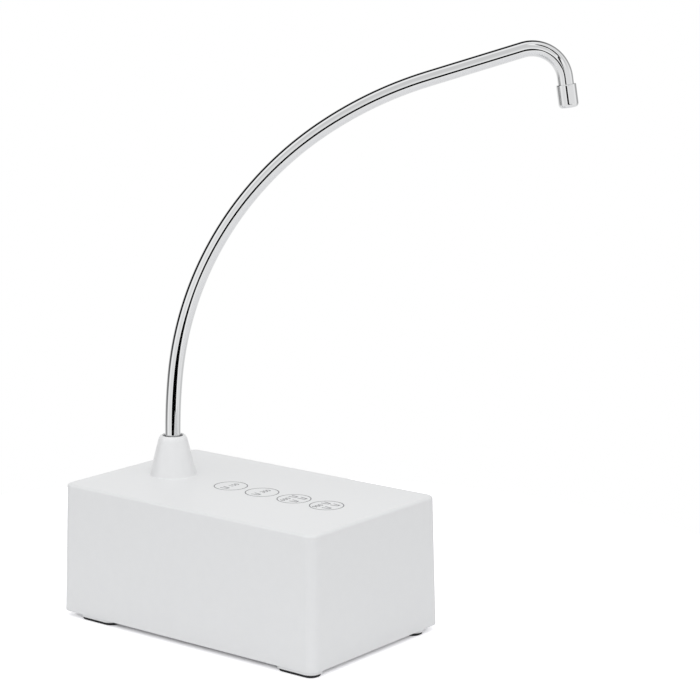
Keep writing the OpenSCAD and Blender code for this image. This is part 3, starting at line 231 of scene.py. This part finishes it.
def soft_lamp(name, size, watts, place):
    """A round lamp that faces the table's middle and that bright metal doesn't mirror."""
    light = bpy.data.lights.new(name, "AREA")
    light.shape = "DISK"
    light.size = size
    light.energy = watts
    lamp = bpy.data.objects.new(name, light)
    lamp.matrix_world = Matrix.Translation(place) @ place.to_track_quat("Z", "Y").to_matrix().to_4x4()
    lamp.visible_glossy = False
    scene.collection.objects.link(lamp)


height = along((0, 0, 1))
facing = along(towards(*GAP_AXIS) @ Vector((0, -1, 0)))
rightness = along(towards(90, 0) @ Vector((0, -1, 0)))
leftness = combined("MULTIPLY_ADD", soft_step(rightness, *GAP_LEFT), 1 - GAP_RIGHT_SHARE, GAP_RIGHT_SHARE)
above = combined("MULTIPLY", soft_step(height, *GAP_FOOT), leftness)
dark = combined("MULTIPLY", band(facing, GAP_BAND), above)
rim = combined("MULTIPLY", band(facing, GAP_RIM), above)
before = soft_step(facing, *STAND_SIDE)
for part in STAND_PARTS:
    distance = from_middle(*part)
    dark = combined("MAXIMUM", dark, combined("MULTIPLY", before, soft_step(distance, *STAND_EDGE)))
    rim = combined("MAXIMUM", rim, combined("MULTIPLY", before, soft_step(distance, *STAND_RIM)))
dim = combined("MULTIPLY", soft_step(height, *CEILING_RISE), combined("SUBTRACT", 1.0, rim))
walls = combined("MULTIPLY_ADD", dim, -CEILING_LOSS, combined("MULTIPLY_ADD", rim, RIM_GAIN, 1.0))
reflected = white_light(1)
tree.links.new(combined("MULTIPLY", walls, combined("SUBTRACT", 1.0, dark)), reflected.inputs["Strength"])
unseen = mixed(ray_share("Is Glossy Ray"), white_light(AMBIENT), reflected)
seen = mixed(ray_share("Is Camera Ray", "Is Transmission Ray"), unseen, white_light(1))
tree.links.new(seen.outputs[0], tree.nodes["World Output"].inputs["Surface"])
soft_lamp("overhead_lamp", OVERHEAD_SIZE, OVERHEAD_WATTS, OVERHEAD_PLACE)
soft_lamp("front_lamp", FRONT_SIZE, FRONT_WATTS, towards(0, FRONT_RISE) @ Vector((0, -FRONT_DISTANCE, 0)))

# Base plate. The white moulded cover under the body, with low bosses for the feet, screw sleeves, and posts
# for the board and the motor's strap. It carries the works and closes the body from below.
# The last of these is the share of the dark tone that is painted into grooves as shade.
GRAIN_DETAIL, PITS_PER_GRAIN, RELIEF_STRENGTH, PAINTED_GROOVE_SHADE = 3, 8, 0.3, 0.4
MIX_FACTOR, MIX_A, MIX_B, MIX_COLOUR = 0, 6, 7, 2


def finish(name, light, dark, grain, roughness, relief, metallic=0.0, lines=None):
    """A finish of two close tones mottled by a grain, with a roughness that follows it and a fine relief.

    lines, an axis and a pitch, marks stacked plates, turns of wire or strands across that axis."""
    material = bpy.data.materials.new(name)
    material.use_nodes = True
    tree = material.node_tree
    shader = tree.nodes["Principled BSDF"]
    shader.inputs["Metallic"].default_value = metallic
    place = tree.nodes.new("ShaderNodeTexCoord")
    mottle = tree.nodes.new("ShaderNodeTexNoise")
    mottle.inputs["Scale"].default_value = 1 / grain
    mottle.inputs["Detail"].default_value = GRAIN_DETAIL
    tree.links.new(place.outputs["Object"], mottle.inputs["Vector"])
    tone = tree.nodes.new("ShaderNodeMix")
    tone.data_type = "RGBA"
    tone.inputs[MIX_A].default_value = (*dark, 1)
    tone.inputs[MIX_B].default_value = (*light, 1)
    tree.links.new(mottle.outputs["Fac"], tone.inputs[MIX_FACTOR])
    tree.links.new(tone.outputs[MIX_COLOUR], shader.inputs["Base Color"])
    pits = tree.nodes.new("ShaderNodeTexNoise")
    pits.inputs["Scale"].default_value = PITS_PER_GRAIN / grain
    tree.links.new(place.outputs["Object"], pits.inputs["Vector"])
    height = pits.outputs["Fac"]
    if lines:
        axis, pitch = lines
        ridges = tree.nodes.new("ShaderNodeTexWave")
        ridges.bands_direction = axis
        ridges.inputs["Scale"].default_value = pi / (10 * pitch)  # the texture has 10 / pi bands to a unit
        tree.links.new(place.outputs["Object"], ridges.inputs["Vector"])
        height = ridges.outputs["Fac"]
        # Painted shade: the grooves between plates, turns of wire or strands are painted darker than the tops.
        shade_in_grooves = tree.nodes.new("ShaderNodeMix")
        shade_in_grooves.data_type = "RGBA"
        shade_in_grooves.inputs[MIX_A].default_value = (*(PAINTED_GROOVE_SHADE * Vector(dark)), 1)
        tree.links.new(height, shade_in_grooves.inputs[MIX_FACTOR])
        tree.links.new(tone.outputs[MIX_COLOUR], shade_in_grooves.inputs[MIX_B])
        tree.links.new(shade_in_grooves.outputs[MIX_COLOUR], shader.inputs["Base Color"])
    sheen = tree.nodes.new("ShaderNodeMapRange")
    sheen.inputs["To Min"].default_value = roughness[0]
    sheen.inputs["To Max"].default_value = roughness[1]
    tree.links.new(mottle.outputs["Fac"], sheen.inputs["Value"])
    tree.links.new(sheen.outputs["Result"], shader.inputs["Roughness"])
    surface = tree.nodes.new("ShaderNodeBump")
    surface.inputs["Strength"].default_value = RELIEF_STRENGTH
    surface.inputs["Distance"].default_value = relief
    tree.links.new(height, surface.inputs["Height"])
    tree.links.new(surface.outputs["Normal"], shader.inputs["Normal"])
    return material


def dress(material, *nodes):
    """Gives solids of the CAD model their finish."""
    for node in nodes:
        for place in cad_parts[node].material_slots:
            place.material = material


white_plastic = finish("white_satin_plastic", (0.766, 0.773, 0.779), (0.742, 0.749, 0.756), 4 * MM,
                       (0.36, 0.46), 0.02 * MM)
dress(white_plastic, "base_plate")

# Feet. Four black rubber pads with softly rounded lower edges and a fine matt grain. Each is held in the base
# plate by a plug that is pressed into its boss.
FOOT_CORNER_R, FOOT_H, FOOT_EDGE_R = 4, 1.6, 0.15
FOOT_PROFILE = ((1.2, 0), (FOOT_EDGE_R, 0), (0.04, 0.04), (0, FOOT_EDGE_R), (0, FOOT_H), (0.8, FOOT_H))
PLUG_R, PLUG_SIDES, PLUG_ROOT, PLUG_BEVEL = 2.5, 32, 0.2, 0.3


def rounded_loop(half_x, half_y, corner_r, z, centre=(0, 0), corner_steps=10):
    """Points round a rounded rectangle at a height, in millimetres, from the +X side anticlockwise."""
    loop = []
    for quarter, (side_x, side_y) in enumerate(((1, 1), (-1, 1), (-1, -1), (1, -1))):
        for step in range(corner_steps + 1):
            angle = pi / 2 * (quarter + step / corner_steps)
            loop.append((centre[0] + side_x * (half_x - corner_r) + corner_r * cos(angle),
                         centre[1] + side_y * (half_y - corner_r) + corner_r * sin(angle), z))
    return loop


def loft(loops, ends):
    """Points and faces of a skin over loops of equal counts, its ends capped, or joined to each other."""
    count = len(loops[0])
    points = [Vector(point) * MM for loop in loops for point in loop]
    rows = len(loops)
    faces = []
    for row in range(rows if ends == "joined" else rows - 1):
        near, far = row * count, (row + 1) % rows * count
        for i in range(count):
            j = (i + 1) % count
            faces.append((near + i, near + j, far + j, far + i))
    if ends == "capped":
        faces.append(range(count))
        faces.append(range((rows - 1) * count, rows * count))
    return points, faces


def joined(*shapes):
    """Several sets of points and faces as one."""
    points, faces = [], []
    for more_points, more_faces in shapes:
        start = len(points)
        points += more_points
        faces += [[start + i for i in face] for face in more_faces]
    return points, faces


rubber = finish("black_foot_rubber", (0.018, 0.018, 0.02), (0.009, 0.009, 0.01), 1.5 * MM, (0.7, 0.9), 0.03 * MM)
for corner in ("front_left", "front_right", "rear_left", "rear_right"):
    low, high = [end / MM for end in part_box("foot_" + corner)]
    middle, half = (low + high) / 2, (high - low) / 2
    pad_loops = [rounded_loop(half.x - inset, half.y - inset, FOOT_CORNER_R - inset, z, middle)
                 for inset, z in FOOT_PROFILE]
    plug_profile = ((PLUG_R, FOOT_H - PLUG_ROOT), (PLUG_R, high.z - PLUG_BEVEL), (PLUG_R - PLUG_BEVEL, high.z))
    plug_loops = [circle_loop(radius, z, middle, PLUG_SIDES) for radius, z in plug_profile]
    mesh = new_mesh("foot_pad_" + corner, *joined(loft(pad_loops, "capped"), loft(plug_loops, "capped")))
    pad = new_object("foot_pad_" + corner, mesh, rubber)
    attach(pad, "body")
    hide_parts("foot_" + corner)

# Screws. Small pan-head screws of plated steel: four that close the base, two that hold the motor's strap, four
# that hold the control board and four that close the pump.
plated_steel = finish("plated_steel", (0.6, 0.61, 0.62), (0.48, 0.49, 0.5), 0.8 * MM, (0.22, 0.38), 0.004 * MM, 1.0)
dress(plated_steel, "base_screws", "strap_screws", "board_screws", "pump_screws")

# Battery. Two round cells in blue shrink wrap lie one above the other in a grey moulded tray, and nickel tabs
# are welded to their ends.
cell_wrap = finish("blue_cell_wrap", (0.06, 0.19, 0.48), (0.04, 0.14, 0.4), 6 * MM, (0.25, 0.4), 0.02 * MM)
grey_plastic = finish("grey_matt_plastic", (0.45, 0.46, 0.47), (0.38, 0.39, 0.4), 2 * MM, (0.5, 0.65), 0.03 * MM)
nickel = finish("nickel_strip", (0.62, 0.6, 0.56), (0.5, 0.48, 0.45), 1 * MM, (0.25, 0.4), 0.006 * MM, 1.0)
dress(cell_wrap, "battery_cell_lower", "battery_cell_upper")
dress(grey_plastic, "battery_tray")
dress(nickel, "cell_tabs")

# Motor. A drawn steel can with two magnets, an end cap with brushes and terminals, and a rotor of stacked iron
# plates wound with copper. It lies on a rubber saddle under a white strap.
PLATE_PITCH, WIRE_PITCH = 0.5 * MM, 0.4 * MM
can_steel = finish("drawn_can_steel", (0.56, 0.57, 0.58), (0.46, 0.47, 0.48), 3 * MM, (0.25, 0.35), 0.01 * MM, 1.0)
ferrite = finish("ferrite", (0.09, 0.09, 0.1), (0.06, 0.06, 0.065), 0.7 * MM, (0.5, 0.65), 0.02 * MM, 0.4)
iron_plates = finish("stacked_iron", (0.24, 0.24, 0.25), (0.16, 0.16, 0.17), 0.7 * MM, (0.4, 0.55), 0.05 * MM,
                     0.9, ("Y", PLATE_PITCH))
wound_wire = finish("enamelled_wire", (0.66, 0.3, 0.14), (0.5, 0.2, 0.09), 0.6 * MM, (0.25, 0.4), 0.1 * MM,
                    1.0, ("Y", WIRE_PITCH))
copper = finish("bare_copper", (0.7, 0.36, 0.2), (0.58, 0.27, 0.14), 0.6 * MM, (0.2, 0.35), 0.01 * MM, 1.0)
bronze = finish("oiled_bronze", (0.58, 0.45, 0.24), (0.46, 0.34, 0.17), 0.6 * MM, (0.3, 0.45), 0.01 * MM, 1.0)
black_plastic = finish("black_matt_plastic", (0.03, 0.03, 0.032), (0.018, 0.018, 0.02), 1 * MM, (0.45, 0.6),
                       0.02 * MM)
dress(can_steel, "motor_can", "motor_shaft")
dress(ferrite, "motor_magnets")
dress(iron_plates, "rotor_core")
dress(wound_wire, "rotor_windings")
dress(copper, "motor_brushes", "commutator")
dress(bronze, "motor_terminals", "front_bearing", "rear_bearing")
dress(black_plastic, "motor_endcap")
dress(rubber, "motor_saddle")
dress(white_plastic, "motor_strap")

# Gear pump. Two acetal gears, one on the motor's shaft and one on a steel pin, mesh in a grey case that is bolted
# together round a rubber gasket and fits on the motor's end. A rubber lip seal closes it round the shaft.
acetal = finish("acetal", (0.86, 0.85, 0.81), (0.8, 0.79, 0.75), 1.2 * MM, (0.3, 0.42), 0.006 * MM)
dress(acetal, "drive_gear", "driven_gear")
dress(grey_plastic, "pump_body", "pump_cover")
dress(can_steel, "idler_pin")
dress(rubber, "pump_gasket", "shaft_seal")

# Hoses. Milky silicone hose leads from the back fitting to the pump and from the pump up to the collar, and
# steel spring clips hold its ends on their spigots.
silicone = finish("milky_silicone", (0.78, 0.8, 0.79), (0.7, 0.72, 0.71), 3 * MM, (0.35, 0.5), 0.02 * MM)
dress(silicone, "outlet_hose", "inlet_hose")
dress(can_steel, "hose_clips")

# Boards and wires. A green control board with its parts and a steel charging socket, a touch board glued under
# the top, red leads to the motor and the cells, and a flat grey ribbon between the boards.
STRAND_PITCH = 1 * MM
solder_mask = finish("green_solder_mask", (0.04, 0.2, 0.1), (0.025, 0.13, 0.065), 1.4 * MM, (0.25, 0.4), 0.02 * MM)
red_wire = finish("red_wire", (0.45, 0.035, 0.03), (0.36, 0.025, 0.022), 1 * MM, (0.4, 0.55), 0.01 * MM)
grey_ribbon = finish("grey_ribbon", (0.55, 0.55, 0.55), (0.46, 0.46, 0.47), 0.8 * MM, (0.4, 0.55), 0.1 * MM,
                     lines=("Y", STRAND_PITCH))
dress(solder_mask, "control_board", "touch_board")
dress(black_plastic, "board_parts", "charge_tongue")
dress(plated_steel, "charge_shell")
dress(red_wire, "motor_leads", "battery_leads")
dress(grey_ribbon, "touch_ribbon")

# Hose fitting. A white moulded fitting at the back: a flange against the wall, a barbed spigot for the jug's
# hose outside, and a shank with a nut and a plain spigot inside.
BACK_Y = 82
LATHE_SIDES = 64
BARB_R, BARB_ROOT_R, BARBS, BARB_PITCH, BARB_TIP = 4, 3.5, 3, 3.6, 15.4
BARB_STEPS = ((BARB_R, 2.4), (BARB_R, 2.8), (BARB_ROOT_R, 3), (BARB_ROOT_R, BARB_PITCH))
SPIGOT_TIP = [(2.25, 16), (3.2, 16), (BARB_ROOT_R, BARB_TIP)]
FLANGE_AND_SHANK = [(BARB_ROOT_R, 2.5), (4, 2), (7.5, 2), (8, 1.5), (8, 0), (5, 0), (5, -10), (3.5, -10),
                    (3.5, -19.5), (3.2, -20), (2.25, -20)]


def lathe(profile, matrix, sides=LATHE_SIDES):
    """A closed profile of (radius, height) points in millimetres, turned round Z and placed by a matrix."""
    loops = []
    for radius, z in profile:
        loops.append([matrix @ Vector(point) for point in circle_loop(radius, z, (0, 0), sides)])
    return loft(loops, "joined")


low, high = [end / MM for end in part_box("inlet_fitting")]
inlet_x, inlet_z = (low.x + high.x) / 2, (low.z + high.z) / 2
barbs = [(radius, BARB_TIP - barb * BARB_PITCH - down) for barb in range(BARBS) for radius, down in BARB_STEPS]
fitting_profile = SPIGOT_TIP + barbs + FLANGE_AND_SHANK
fitting_place = Matrix.Translation((inlet_x, BACK_Y, inlet_z)) @ Matrix.Rotation(-pi / 2, 4, "X")
fitting_mesh = new_mesh("hose_fitting", *lathe(fitting_profile, fitting_place))
hose_fitting = new_object("hose_fitting", fitting_mesh, white_plastic)
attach(hose_fitting, "body")
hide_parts("inlet_fitting")
dress(white_plastic, "inlet_nut")

# Body shell. A white satin moulding with slightly leaning walls, rounded edges, four screw posts and a boss for
# the hose fitting inside. It has a round hole for the collar and a slot for the charging socket.
HALF_WIDTH, HALF_LENGTH, LEAN = 50.5, 82, 0.02269
RIM_Z, TOP_Z = [end.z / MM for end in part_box("housing")]
WALL, TOP_WALL = 2.4, 2.6
SHELL_CORNER_R, TOP_EDGE_R, INNER_EDGE_R = 5, 1.5, 1
RIM_EDGE, RIM_EDGE_MIDDLE, FLAT_MARGIN = 0.3, 0.09, 0.5
COLLAR_Y, COLLAR_HOLE_R = 50.5, 8.2
POST_X, POST_Y, POST_R, POST_FOOT_Z, POST_ROOT = 43.5, 44, 4, RIM_Z + 5.6, 0.5
POST_BORE_R, POST_BORE_DEPTH = 1.5, 10.4
BOSS_R, BOSS_DEPTH, FITTING_HOLE_R = 9, 6, 5.2
SLOT_HALF_WIDTH, SLOT_HALF_HEIGHT, SLOT_CORNER_R = 4.72, 1.88, 1.87
CUT_PAST = 1
EDGE_STEPS, SHELL_CORNER_STEPS = 10, 16


def shell_loop(inset, z, rounding=0):
    """A loop round the shell at a height, drawn in by the wall's lean, an inset and the rounding of an edge."""
    drawn_in = inset + LEAN * (min(z, TOP_Z - TOP_EDGE_R) - RIM_Z) + rounding
    return rounded_loop(HALF_WIDTH - drawn_in, HALF_LENGTH - drawn_in, SHELL_CORNER_R - inset - rounding, z,
                        corner_steps=SHELL_CORNER_STEPS)


def hole_loop(around, radius, z):
    """Points round the collar's hole, each towards its partner in another loop."""
    loop = []
    for point in around:
        out = Vector((point[0], point[1] - COLLAR_Y)).normalized()
        loop.append((radius * out.x, COLLAR_Y + radius * out.y, z))
    return loop


def rod(radius, start, end, matrix):
    """A round rod along a matrix's Z, from one height to another."""
    return loft([[matrix @ Vector(point) for point in circle_loop(radius, z, (0, 0), LATHE_SIDES)]
                 for z in (start, end)], "capped")


def carved(name, block, changes):
    """A mesh of one shape with others joined to it or cut from it in turn, its flat faces shaded flat."""
    stand = bpy.data.objects.new(name, new_mesh(name, *block))
    scene.collection.objects.link(stand)
    tools = [stand]
    for operation, shape in changes:
        tool = bpy.data.objects.new(name + "_tool", new_mesh(name + "_tool", *shape))
        scene.collection.objects.link(tool)
        tools.append(tool)
        change = stand.modifiers.new(operation, "BOOLEAN")
        change.operation = operation
        change.object = tool
        change.solver = "EXACT"
    shading = stand.modifiers.new("even_shading", "WEIGHTED_NORMAL")
    shading.keep_sharp = True
    mesh = bpy.data.meshes.new_from_object(stand.evaluated_get(bpy.context.evaluated_depsgraph_get()))
    mesh.name = name
    for tool in tools:
        bpy.data.objects.remove(tool)
    return mesh


shell_loops = [shell_loop(RIM_EDGE, RIM_Z), shell_loop(RIM_EDGE_MIDDLE, RIM_Z + RIM_EDGE_MIDDLE),
               shell_loop(0, RIM_Z + RIM_EDGE)]
for step in range(EDGE_STEPS + 1):
    angle = pi / 2 * step / EDGE_STEPS
    shell_loops.append(shell_loop(0, TOP_Z - TOP_EDGE_R + TOP_EDGE_R * sin(angle), TOP_EDGE_R * (1 - cos(angle))))
flat_edge = shell_loop(0, TOP_Z, TOP_EDGE_R + FLAT_MARGIN)
ceiling_z = TOP_Z - TOP_WALL
shell_loops += [flat_edge, hole_loop(flat_edge, COLLAR_HOLE_R, TOP_Z),
                hole_loop(flat_edge, COLLAR_HOLE_R, ceiling_z), shell_loop(WALL, ceiling_z, INNER_EDGE_R),
                shell_loop(WALL, ceiling_z - INNER_EDGE_R), shell_loop(WALL, RIM_Z)]
from_back = Matrix.Rotation(pi / 2, 4, "X")
fitting_axis = Matrix.Translation((inlet_x, BACK_Y, inlet_z)) @ from_back
low, high = [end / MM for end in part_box("charge_shell")]
slot_axis = Matrix.Translation(((low.x + high.x) / 2, BACK_Y, (low.z + high.z) / 2)) @ from_back
slot_loops = [[slot_axis @ Vector(point) for point in
               rounded_loop(SLOT_HALF_WIDTH, SLOT_HALF_HEIGHT, SLOT_CORNER_R, depth)]
              for depth in (-CUT_PAST, 2 * WALL)]
post_places = [Matrix.Translation((side_x * POST_X, side_y * POST_Y, 0))
               for side_x in (-1, 1) for side_y in (-1, 1)]
shell_changes = [("UNION", rod(POST_R, POST_FOOT_Z, ceiling_z + POST_ROOT, place)) for place in post_places]
shell_changes.append(("UNION", rod(BOSS_R, 0, BOSS_DEPTH, fitting_axis)))
for place in post_places:
    bore = rod(POST_BORE_R, POST_FOOT_Z - CUT_PAST, POST_FOOT_Z + POST_BORE_DEPTH, place)
    shell_changes.append(("DIFFERENCE", bore))
shell_changes.append(("DIFFERENCE", rod(FITTING_HOLE_R, -CUT_PAST, BOSS_DEPTH + CUT_PAST, fitting_axis)))
shell_changes.append(("DIFFERENCE", loft(slot_loops, "capped")))
shell_mesh = carved("body_shell", loft(shell_loops, "joined"), shell_changes)
body_shell = new_object("body_shell", shell_mesh, white_plastic)
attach(body_shell, "body")
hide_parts("housing")

# Key print. Four thin dark-grey rings on the top mark the touch keys, each with a plain number for its amount
# and one small tumbler, or three for the two larger amounts. The ink lies flat on the moulding.
KEY_NUMBERS, ONE_TUMBLER_KEYS = ("150", "300", "600", "900"), 2
KEY_X, FIRST_KEY_Y, KEY_PITCH = -0.5, 11.1, 20.5
KEY_RING_R, KEY_LINE, KEY_SIDES = 8.6, 0.5, 96
INK_FOOT, INK_TOP = TOP_Z - 0.02, TOP_Z + 0.03
NUMBER_H, NUMBER_X = 3, 2.6
TUMBLER_H, TUMBLER_TOP, TUMBLER_FOOT, TUMBLER_LINE = 4.4, 1.6, 1.1, 0.6
TUMBLER_X, GROUP_X, GROUP_Y = -4.3, 3.3, 2.9


def printed_number(number, height, middle):
    """A number in the plain built-in type, as ink of a given height round a middle."""
    letters = bpy.data.curves.new("key_number", "FONT")
    letters.body = number
    letters.extrude = 1
    lay_out = bpy.data.objects.new("key_number", letters)
    scene.collection.objects.link(lay_out)
    flat = bpy.data.meshes.new_from_object(lay_out.evaluated_get(bpy.context.evaluated_depsgraph_get()))
    spread = [[vertex.co[axis] for vertex in flat.vertices] for axis in (0, 1)]
    low, high = [min(side) for side in spread], [max(side) for side in spread]
    scale = height / (high[1] - low[1])
    points = []
    for vertex in flat.vertices:
        points.append(Vector((middle[0] + scale * (vertex.co.x - (low[0] + high[0]) / 2),
                              middle[1] + scale * (vertex.co.y - (low[1] + high[1]) / 2),
                              INK_TOP if vertex.co.z > 0 else INK_FOOT)) * MM)
    faces = [list(face.vertices) for face in flat.polygons]
    bpy.data.objects.remove(lay_out)
    bpy.data.curves.remove(letters)
    bpy.data.meshes.remove(flat)
    return points, faces


def printed_tumbler(middle):
    """The outline of a small tumbler, open at its top, as one flat line of ink."""
    top, foot = middle[1] + TUMBLER_H / 2, middle[1] - TUMBLER_H / 2
    outer = [(-TUMBLER_TOP, top), (-TUMBLER_FOOT, foot), (TUMBLER_FOOT, foot), (TUMBLER_TOP, top)]
    inner = [(TUMBLER_TOP - TUMBLER_LINE, top), (TUMBLER_FOOT - TUMBLER_LINE, foot + TUMBLER_LINE),
             (TUMBLER_LINE - TUMBLER_FOOT, foot + TUMBLER_LINE), (TUMBLER_LINE - TUMBLER_TOP, top)]
    return loft([[(middle[0] + x, y, z) for x, y in outer + inner] for z in (INK_FOOT, INK_TOP)], "capped")


key_ink = finish("key_ink", (0.2, 0.2, 0.21), (0.13, 0.13, 0.14), 0.8 * MM, (0.4, 0.55), 0.004 * MM)
ring_profile = [(KEY_RING_R - KEY_LINE, INK_FOOT), (KEY_RING_R, INK_FOOT), (KEY_RING_R, INK_TOP),
                (KEY_RING_R - KEY_LINE, INK_TOP)]
key_shapes = []
for key, number in enumerate(KEY_NUMBERS):
    key_y = FIRST_KEY_Y - key * KEY_PITCH
    key_shapes.append(lathe(ring_profile, Matrix.Translation((KEY_X, key_y, 0)), KEY_SIDES))
    if key < ONE_TUMBLER_KEYS:
        key_shapes.append(printed_tumbler((KEY_X + TUMBLER_X, key_y)))
        key_shapes.append(printed_number(number, NUMBER_H, (KEY_X + NUMBER_X, key_y)))
    else:
        key_shapes.append(printed_number(number, NUMBER_H, (KEY_X - GROUP_X, key_y + GROUP_Y)))
        key_shapes += [printed_tumbler((KEY_X + side_x * GROUP_X, key_y + side_y * GROUP_Y))
                       for side_x, side_y in ((1, 1), (-1, -1), (1, -1))]
key_print = new_object("key_print", new_mesh("key_print", *joined(*key_shapes)), key_ink)
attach(key_print, "body")

# Collar. A white cone, moulded with a threaded shank that passes through the top into a nut, and a hose spigot
# below. Its foot runs out softly on the top, and its mouth has a rounded lip.
COLLAR_SIDES = 96
COLLAR_CONE = [(12.3, 0), (12.1, 0.12), (11.95, 0.4), (11.82, 1), (7.55, 18)]
COLLAR_LIP = [(7.38, 18.7), (7.1, 19.35), (6.7, 19.95), (6.25, 20.4), (5.9, 20.6), (5.6, 20.6), (5.3, 20.45),
              (5.1, 20.1)]
COLLAR_BORE = [(5.1, 8), (4.05, 8), (4.05, -11.6), (2.25, -11.6), (2.25, -26)]
COLLAR_SPIGOT_AND_SHANK = [(3.2, -26), (3.5, -25.5), (3.5, -13), (8, -13), (8, 0)]
# Painted light: the collar takes the body's white plastic painted lighter, so that it renders brighter than the top
# it stands on.
collar_white_painted_lighter = finish("white_plastic_painted_lighter", (0.808, 0.813, 0.82), (0.784, 0.789, 0.796), 4 * MM, (0.3, 0.4),
                      0.02 * MM)
collar_profile = COLLAR_CONE + COLLAR_LIP + COLLAR_BORE + COLLAR_SPIGOT_AND_SHANK
collar_place = Matrix.Translation((0, COLLAR_Y, TOP_Z))
collar_mesh = new_mesh("collar_cone", *lathe(collar_profile, collar_place, COLLAR_SIDES))
collar_cone = new_object("collar_cone", collar_mesh, collar_white_painted_lighter)
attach(collar_cone, "body")
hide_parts("collar")
dress(white_plastic, "collar_nut")

# Bush and seals. A moulded ring of dark plastic, pressed into the collar's mouth, guides the tube, and two
# rubber O-rings in the bore below it keep the water in.
dark_plastic = finish("dark_grey_plastic", (0.085, 0.085, 0.09), (0.06, 0.06, 0.065), 1 * MM, (0.35, 0.5),
                      0.01 * MM)
dress(dark_plastic, "spout_bush")
dress(rubber, "spout_o_rings")

# Spout. One length of thin polished steel tube, bent in a long rising arch and a tight crook at its end. It
# turns in the collar, in which it stands by its straight foot.
TUBE_R, TUBE_BORE_R, TUBE_SIDES = 4, 3.5, 48
TUBE_FOOT_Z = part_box("spout_tube")[0].z / MM
SPOUT_SWING = radians(-55)
# Each run is a straight length, then a bend's radius and its turn in degrees.
SPOUT_RUNS = ((32, 310, 5.7), (0, 173, 50), (0, 197, 17), (48.5, 16.4, 98.7), (13.8, 0, 0))
STEP_ANGLE, STEP_LENGTH = 1.5, 4


def spout_line():
    """The tube's middle line: points (out, up) in the spout's plane and the tube's lean from upright."""
    out, up, lean = 0.0, TUBE_FOOT_Z, 0.0
    line = [(out, up, lean)]
    for length, bend_r, turn in SPOUT_RUNS:
        if length:
            out += length * sin(lean)
            up += length * cos(lean)
            line.append((out, up, lean))
        if turn:
            steps = round(max(turn / STEP_ANGLE, radians(turn) * bend_r / STEP_LENGTH))
            start = lean
            centre = (out + bend_r * cos(start), up - bend_r * sin(start))
            for step in range(1, steps + 1):
                lean = start + radians(turn) * step / steps
                line.append((centre[0] - bend_r * cos(lean), centre[1] + bend_r * sin(lean), lean))
            out, up = line[-1][:2]
    return line


def tube_loop(radius, out, up, lean):
    """A ring of points square to the tube's line."""
    ahead = Vector((cos(SPOUT_SWING), sin(SPOUT_SWING), 0))
    across = Vector((-sin(SPOUT_SWING), cos(SPOUT_SWING), 0))
    upright = Vector((0, 0, 1))
    middle = Vector((0, COLLAR_Y, 0)) + out * ahead + up * upright
    outer = sin(lean) * upright - cos(lean) * ahead
    return [middle + radius * (cos(2 * pi * i / TUBE_SIDES) * outer + sin(2 * pi * i / TUBE_SIDES) * across)
            for i in range(TUBE_SIDES)]


polished_steel = finish("polished_tube_steel", (0.715, 0.72, 0.725), (0.68, 0.685, 0.69), 5 * MM, (0.03, 0.06),
                        0.0005 * MM, 1.0)
line = spout_line()
tube_loops = [tube_loop(TUBE_R, *point) for point in line]
tube_loops += [tube_loop(TUBE_BORE_R, *point) for point in reversed(line)]
spout = new_object("spout_pipe", new_mesh("spout_pipe", *loft(tube_loops, "joined")), polished_steel)
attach(spout, "spout")
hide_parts("spout_tube")

# Nozzle. A polished sleeve pressed on the tube's end, with a soft upper shoulder and a well rounded lower edge.
# The grey stream former sits in the tube behind its lip.
NOZZLE_R, NOZZLE_LENGTH, NOZZLE_LIP, NOZZLE_MOUTH = 5, 11.5, 1.2, 0.3
NOZZLE_EDGE, NOZZLE_EDGE_H, NOZZLE_EDGE_STEPS = 1.4, 2.1, 12
NOZZLE_SHOULDER_R, NOZZLE_SHOULDER_STEPS, NOZZLE_BEVEL = 0.4, 4, 0.05
end_out, end_up, end_lean = line[-1]
nozzle_profile = [(TUBE_BORE_R, NOZZLE_LIP), (TUBE_BORE_R, NOZZLE_MOUTH)]
for step in range(NOZZLE_EDGE_STEPS + 1):
    angle = pi / 2 * step / NOZZLE_EDGE_STEPS
    nozzle_profile.append((NOZZLE_R - NOZZLE_EDGE * (1 - sin(angle)), NOZZLE_EDGE_H * (1 - cos(angle))))
nozzle_profile += [(NOZZLE_R, NOZZLE_EDGE_H + NOZZLE_BEVEL),
                   (NOZZLE_R, NOZZLE_LENGTH - NOZZLE_SHOULDER_R - NOZZLE_BEVEL)]
for step in range(NOZZLE_SHOULDER_STEPS + 1):
    angle = pi / 2 * step / NOZZLE_SHOULDER_STEPS
    nozzle_profile.append((NOZZLE_R - NOZZLE_SHOULDER_R * (1 - cos(angle)),
                           NOZZLE_LENGTH - NOZZLE_SHOULDER_R * (1 - sin(angle))))
nozzle_profile += [(TUBE_R + NOZZLE_BEVEL, NOZZLE_LENGTH), (TUBE_R, NOZZLE_LENGTH - NOZZLE_BEVEL),
                   (TUBE_R, NOZZLE_LIP)]
spout_plane = Matrix.Translation((0, COLLAR_Y, 0)) @ Matrix.Rotation(SPOUT_SWING, 4, "Z")
nozzle_place = (spout_plane @ Matrix.Translation((end_out, 0, end_up)) @ Matrix.Rotation(end_lean, 4, "Y")
                @ Matrix.Translation((0, 0, NOZZLE_LIP)) @ Matrix.Rotation(pi, 4, "X"))
nozzle_mesh = new_mesh("nozzle_sleeve", *lathe(nozzle_profile, nozzle_place))
nozzle_sleeve = new_object("nozzle_sleeve", nozzle_mesh, polished_steel)
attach(nozzle_sleeve, "spout")
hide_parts("nozzle")
dress(grey_plastic, "stream_former")
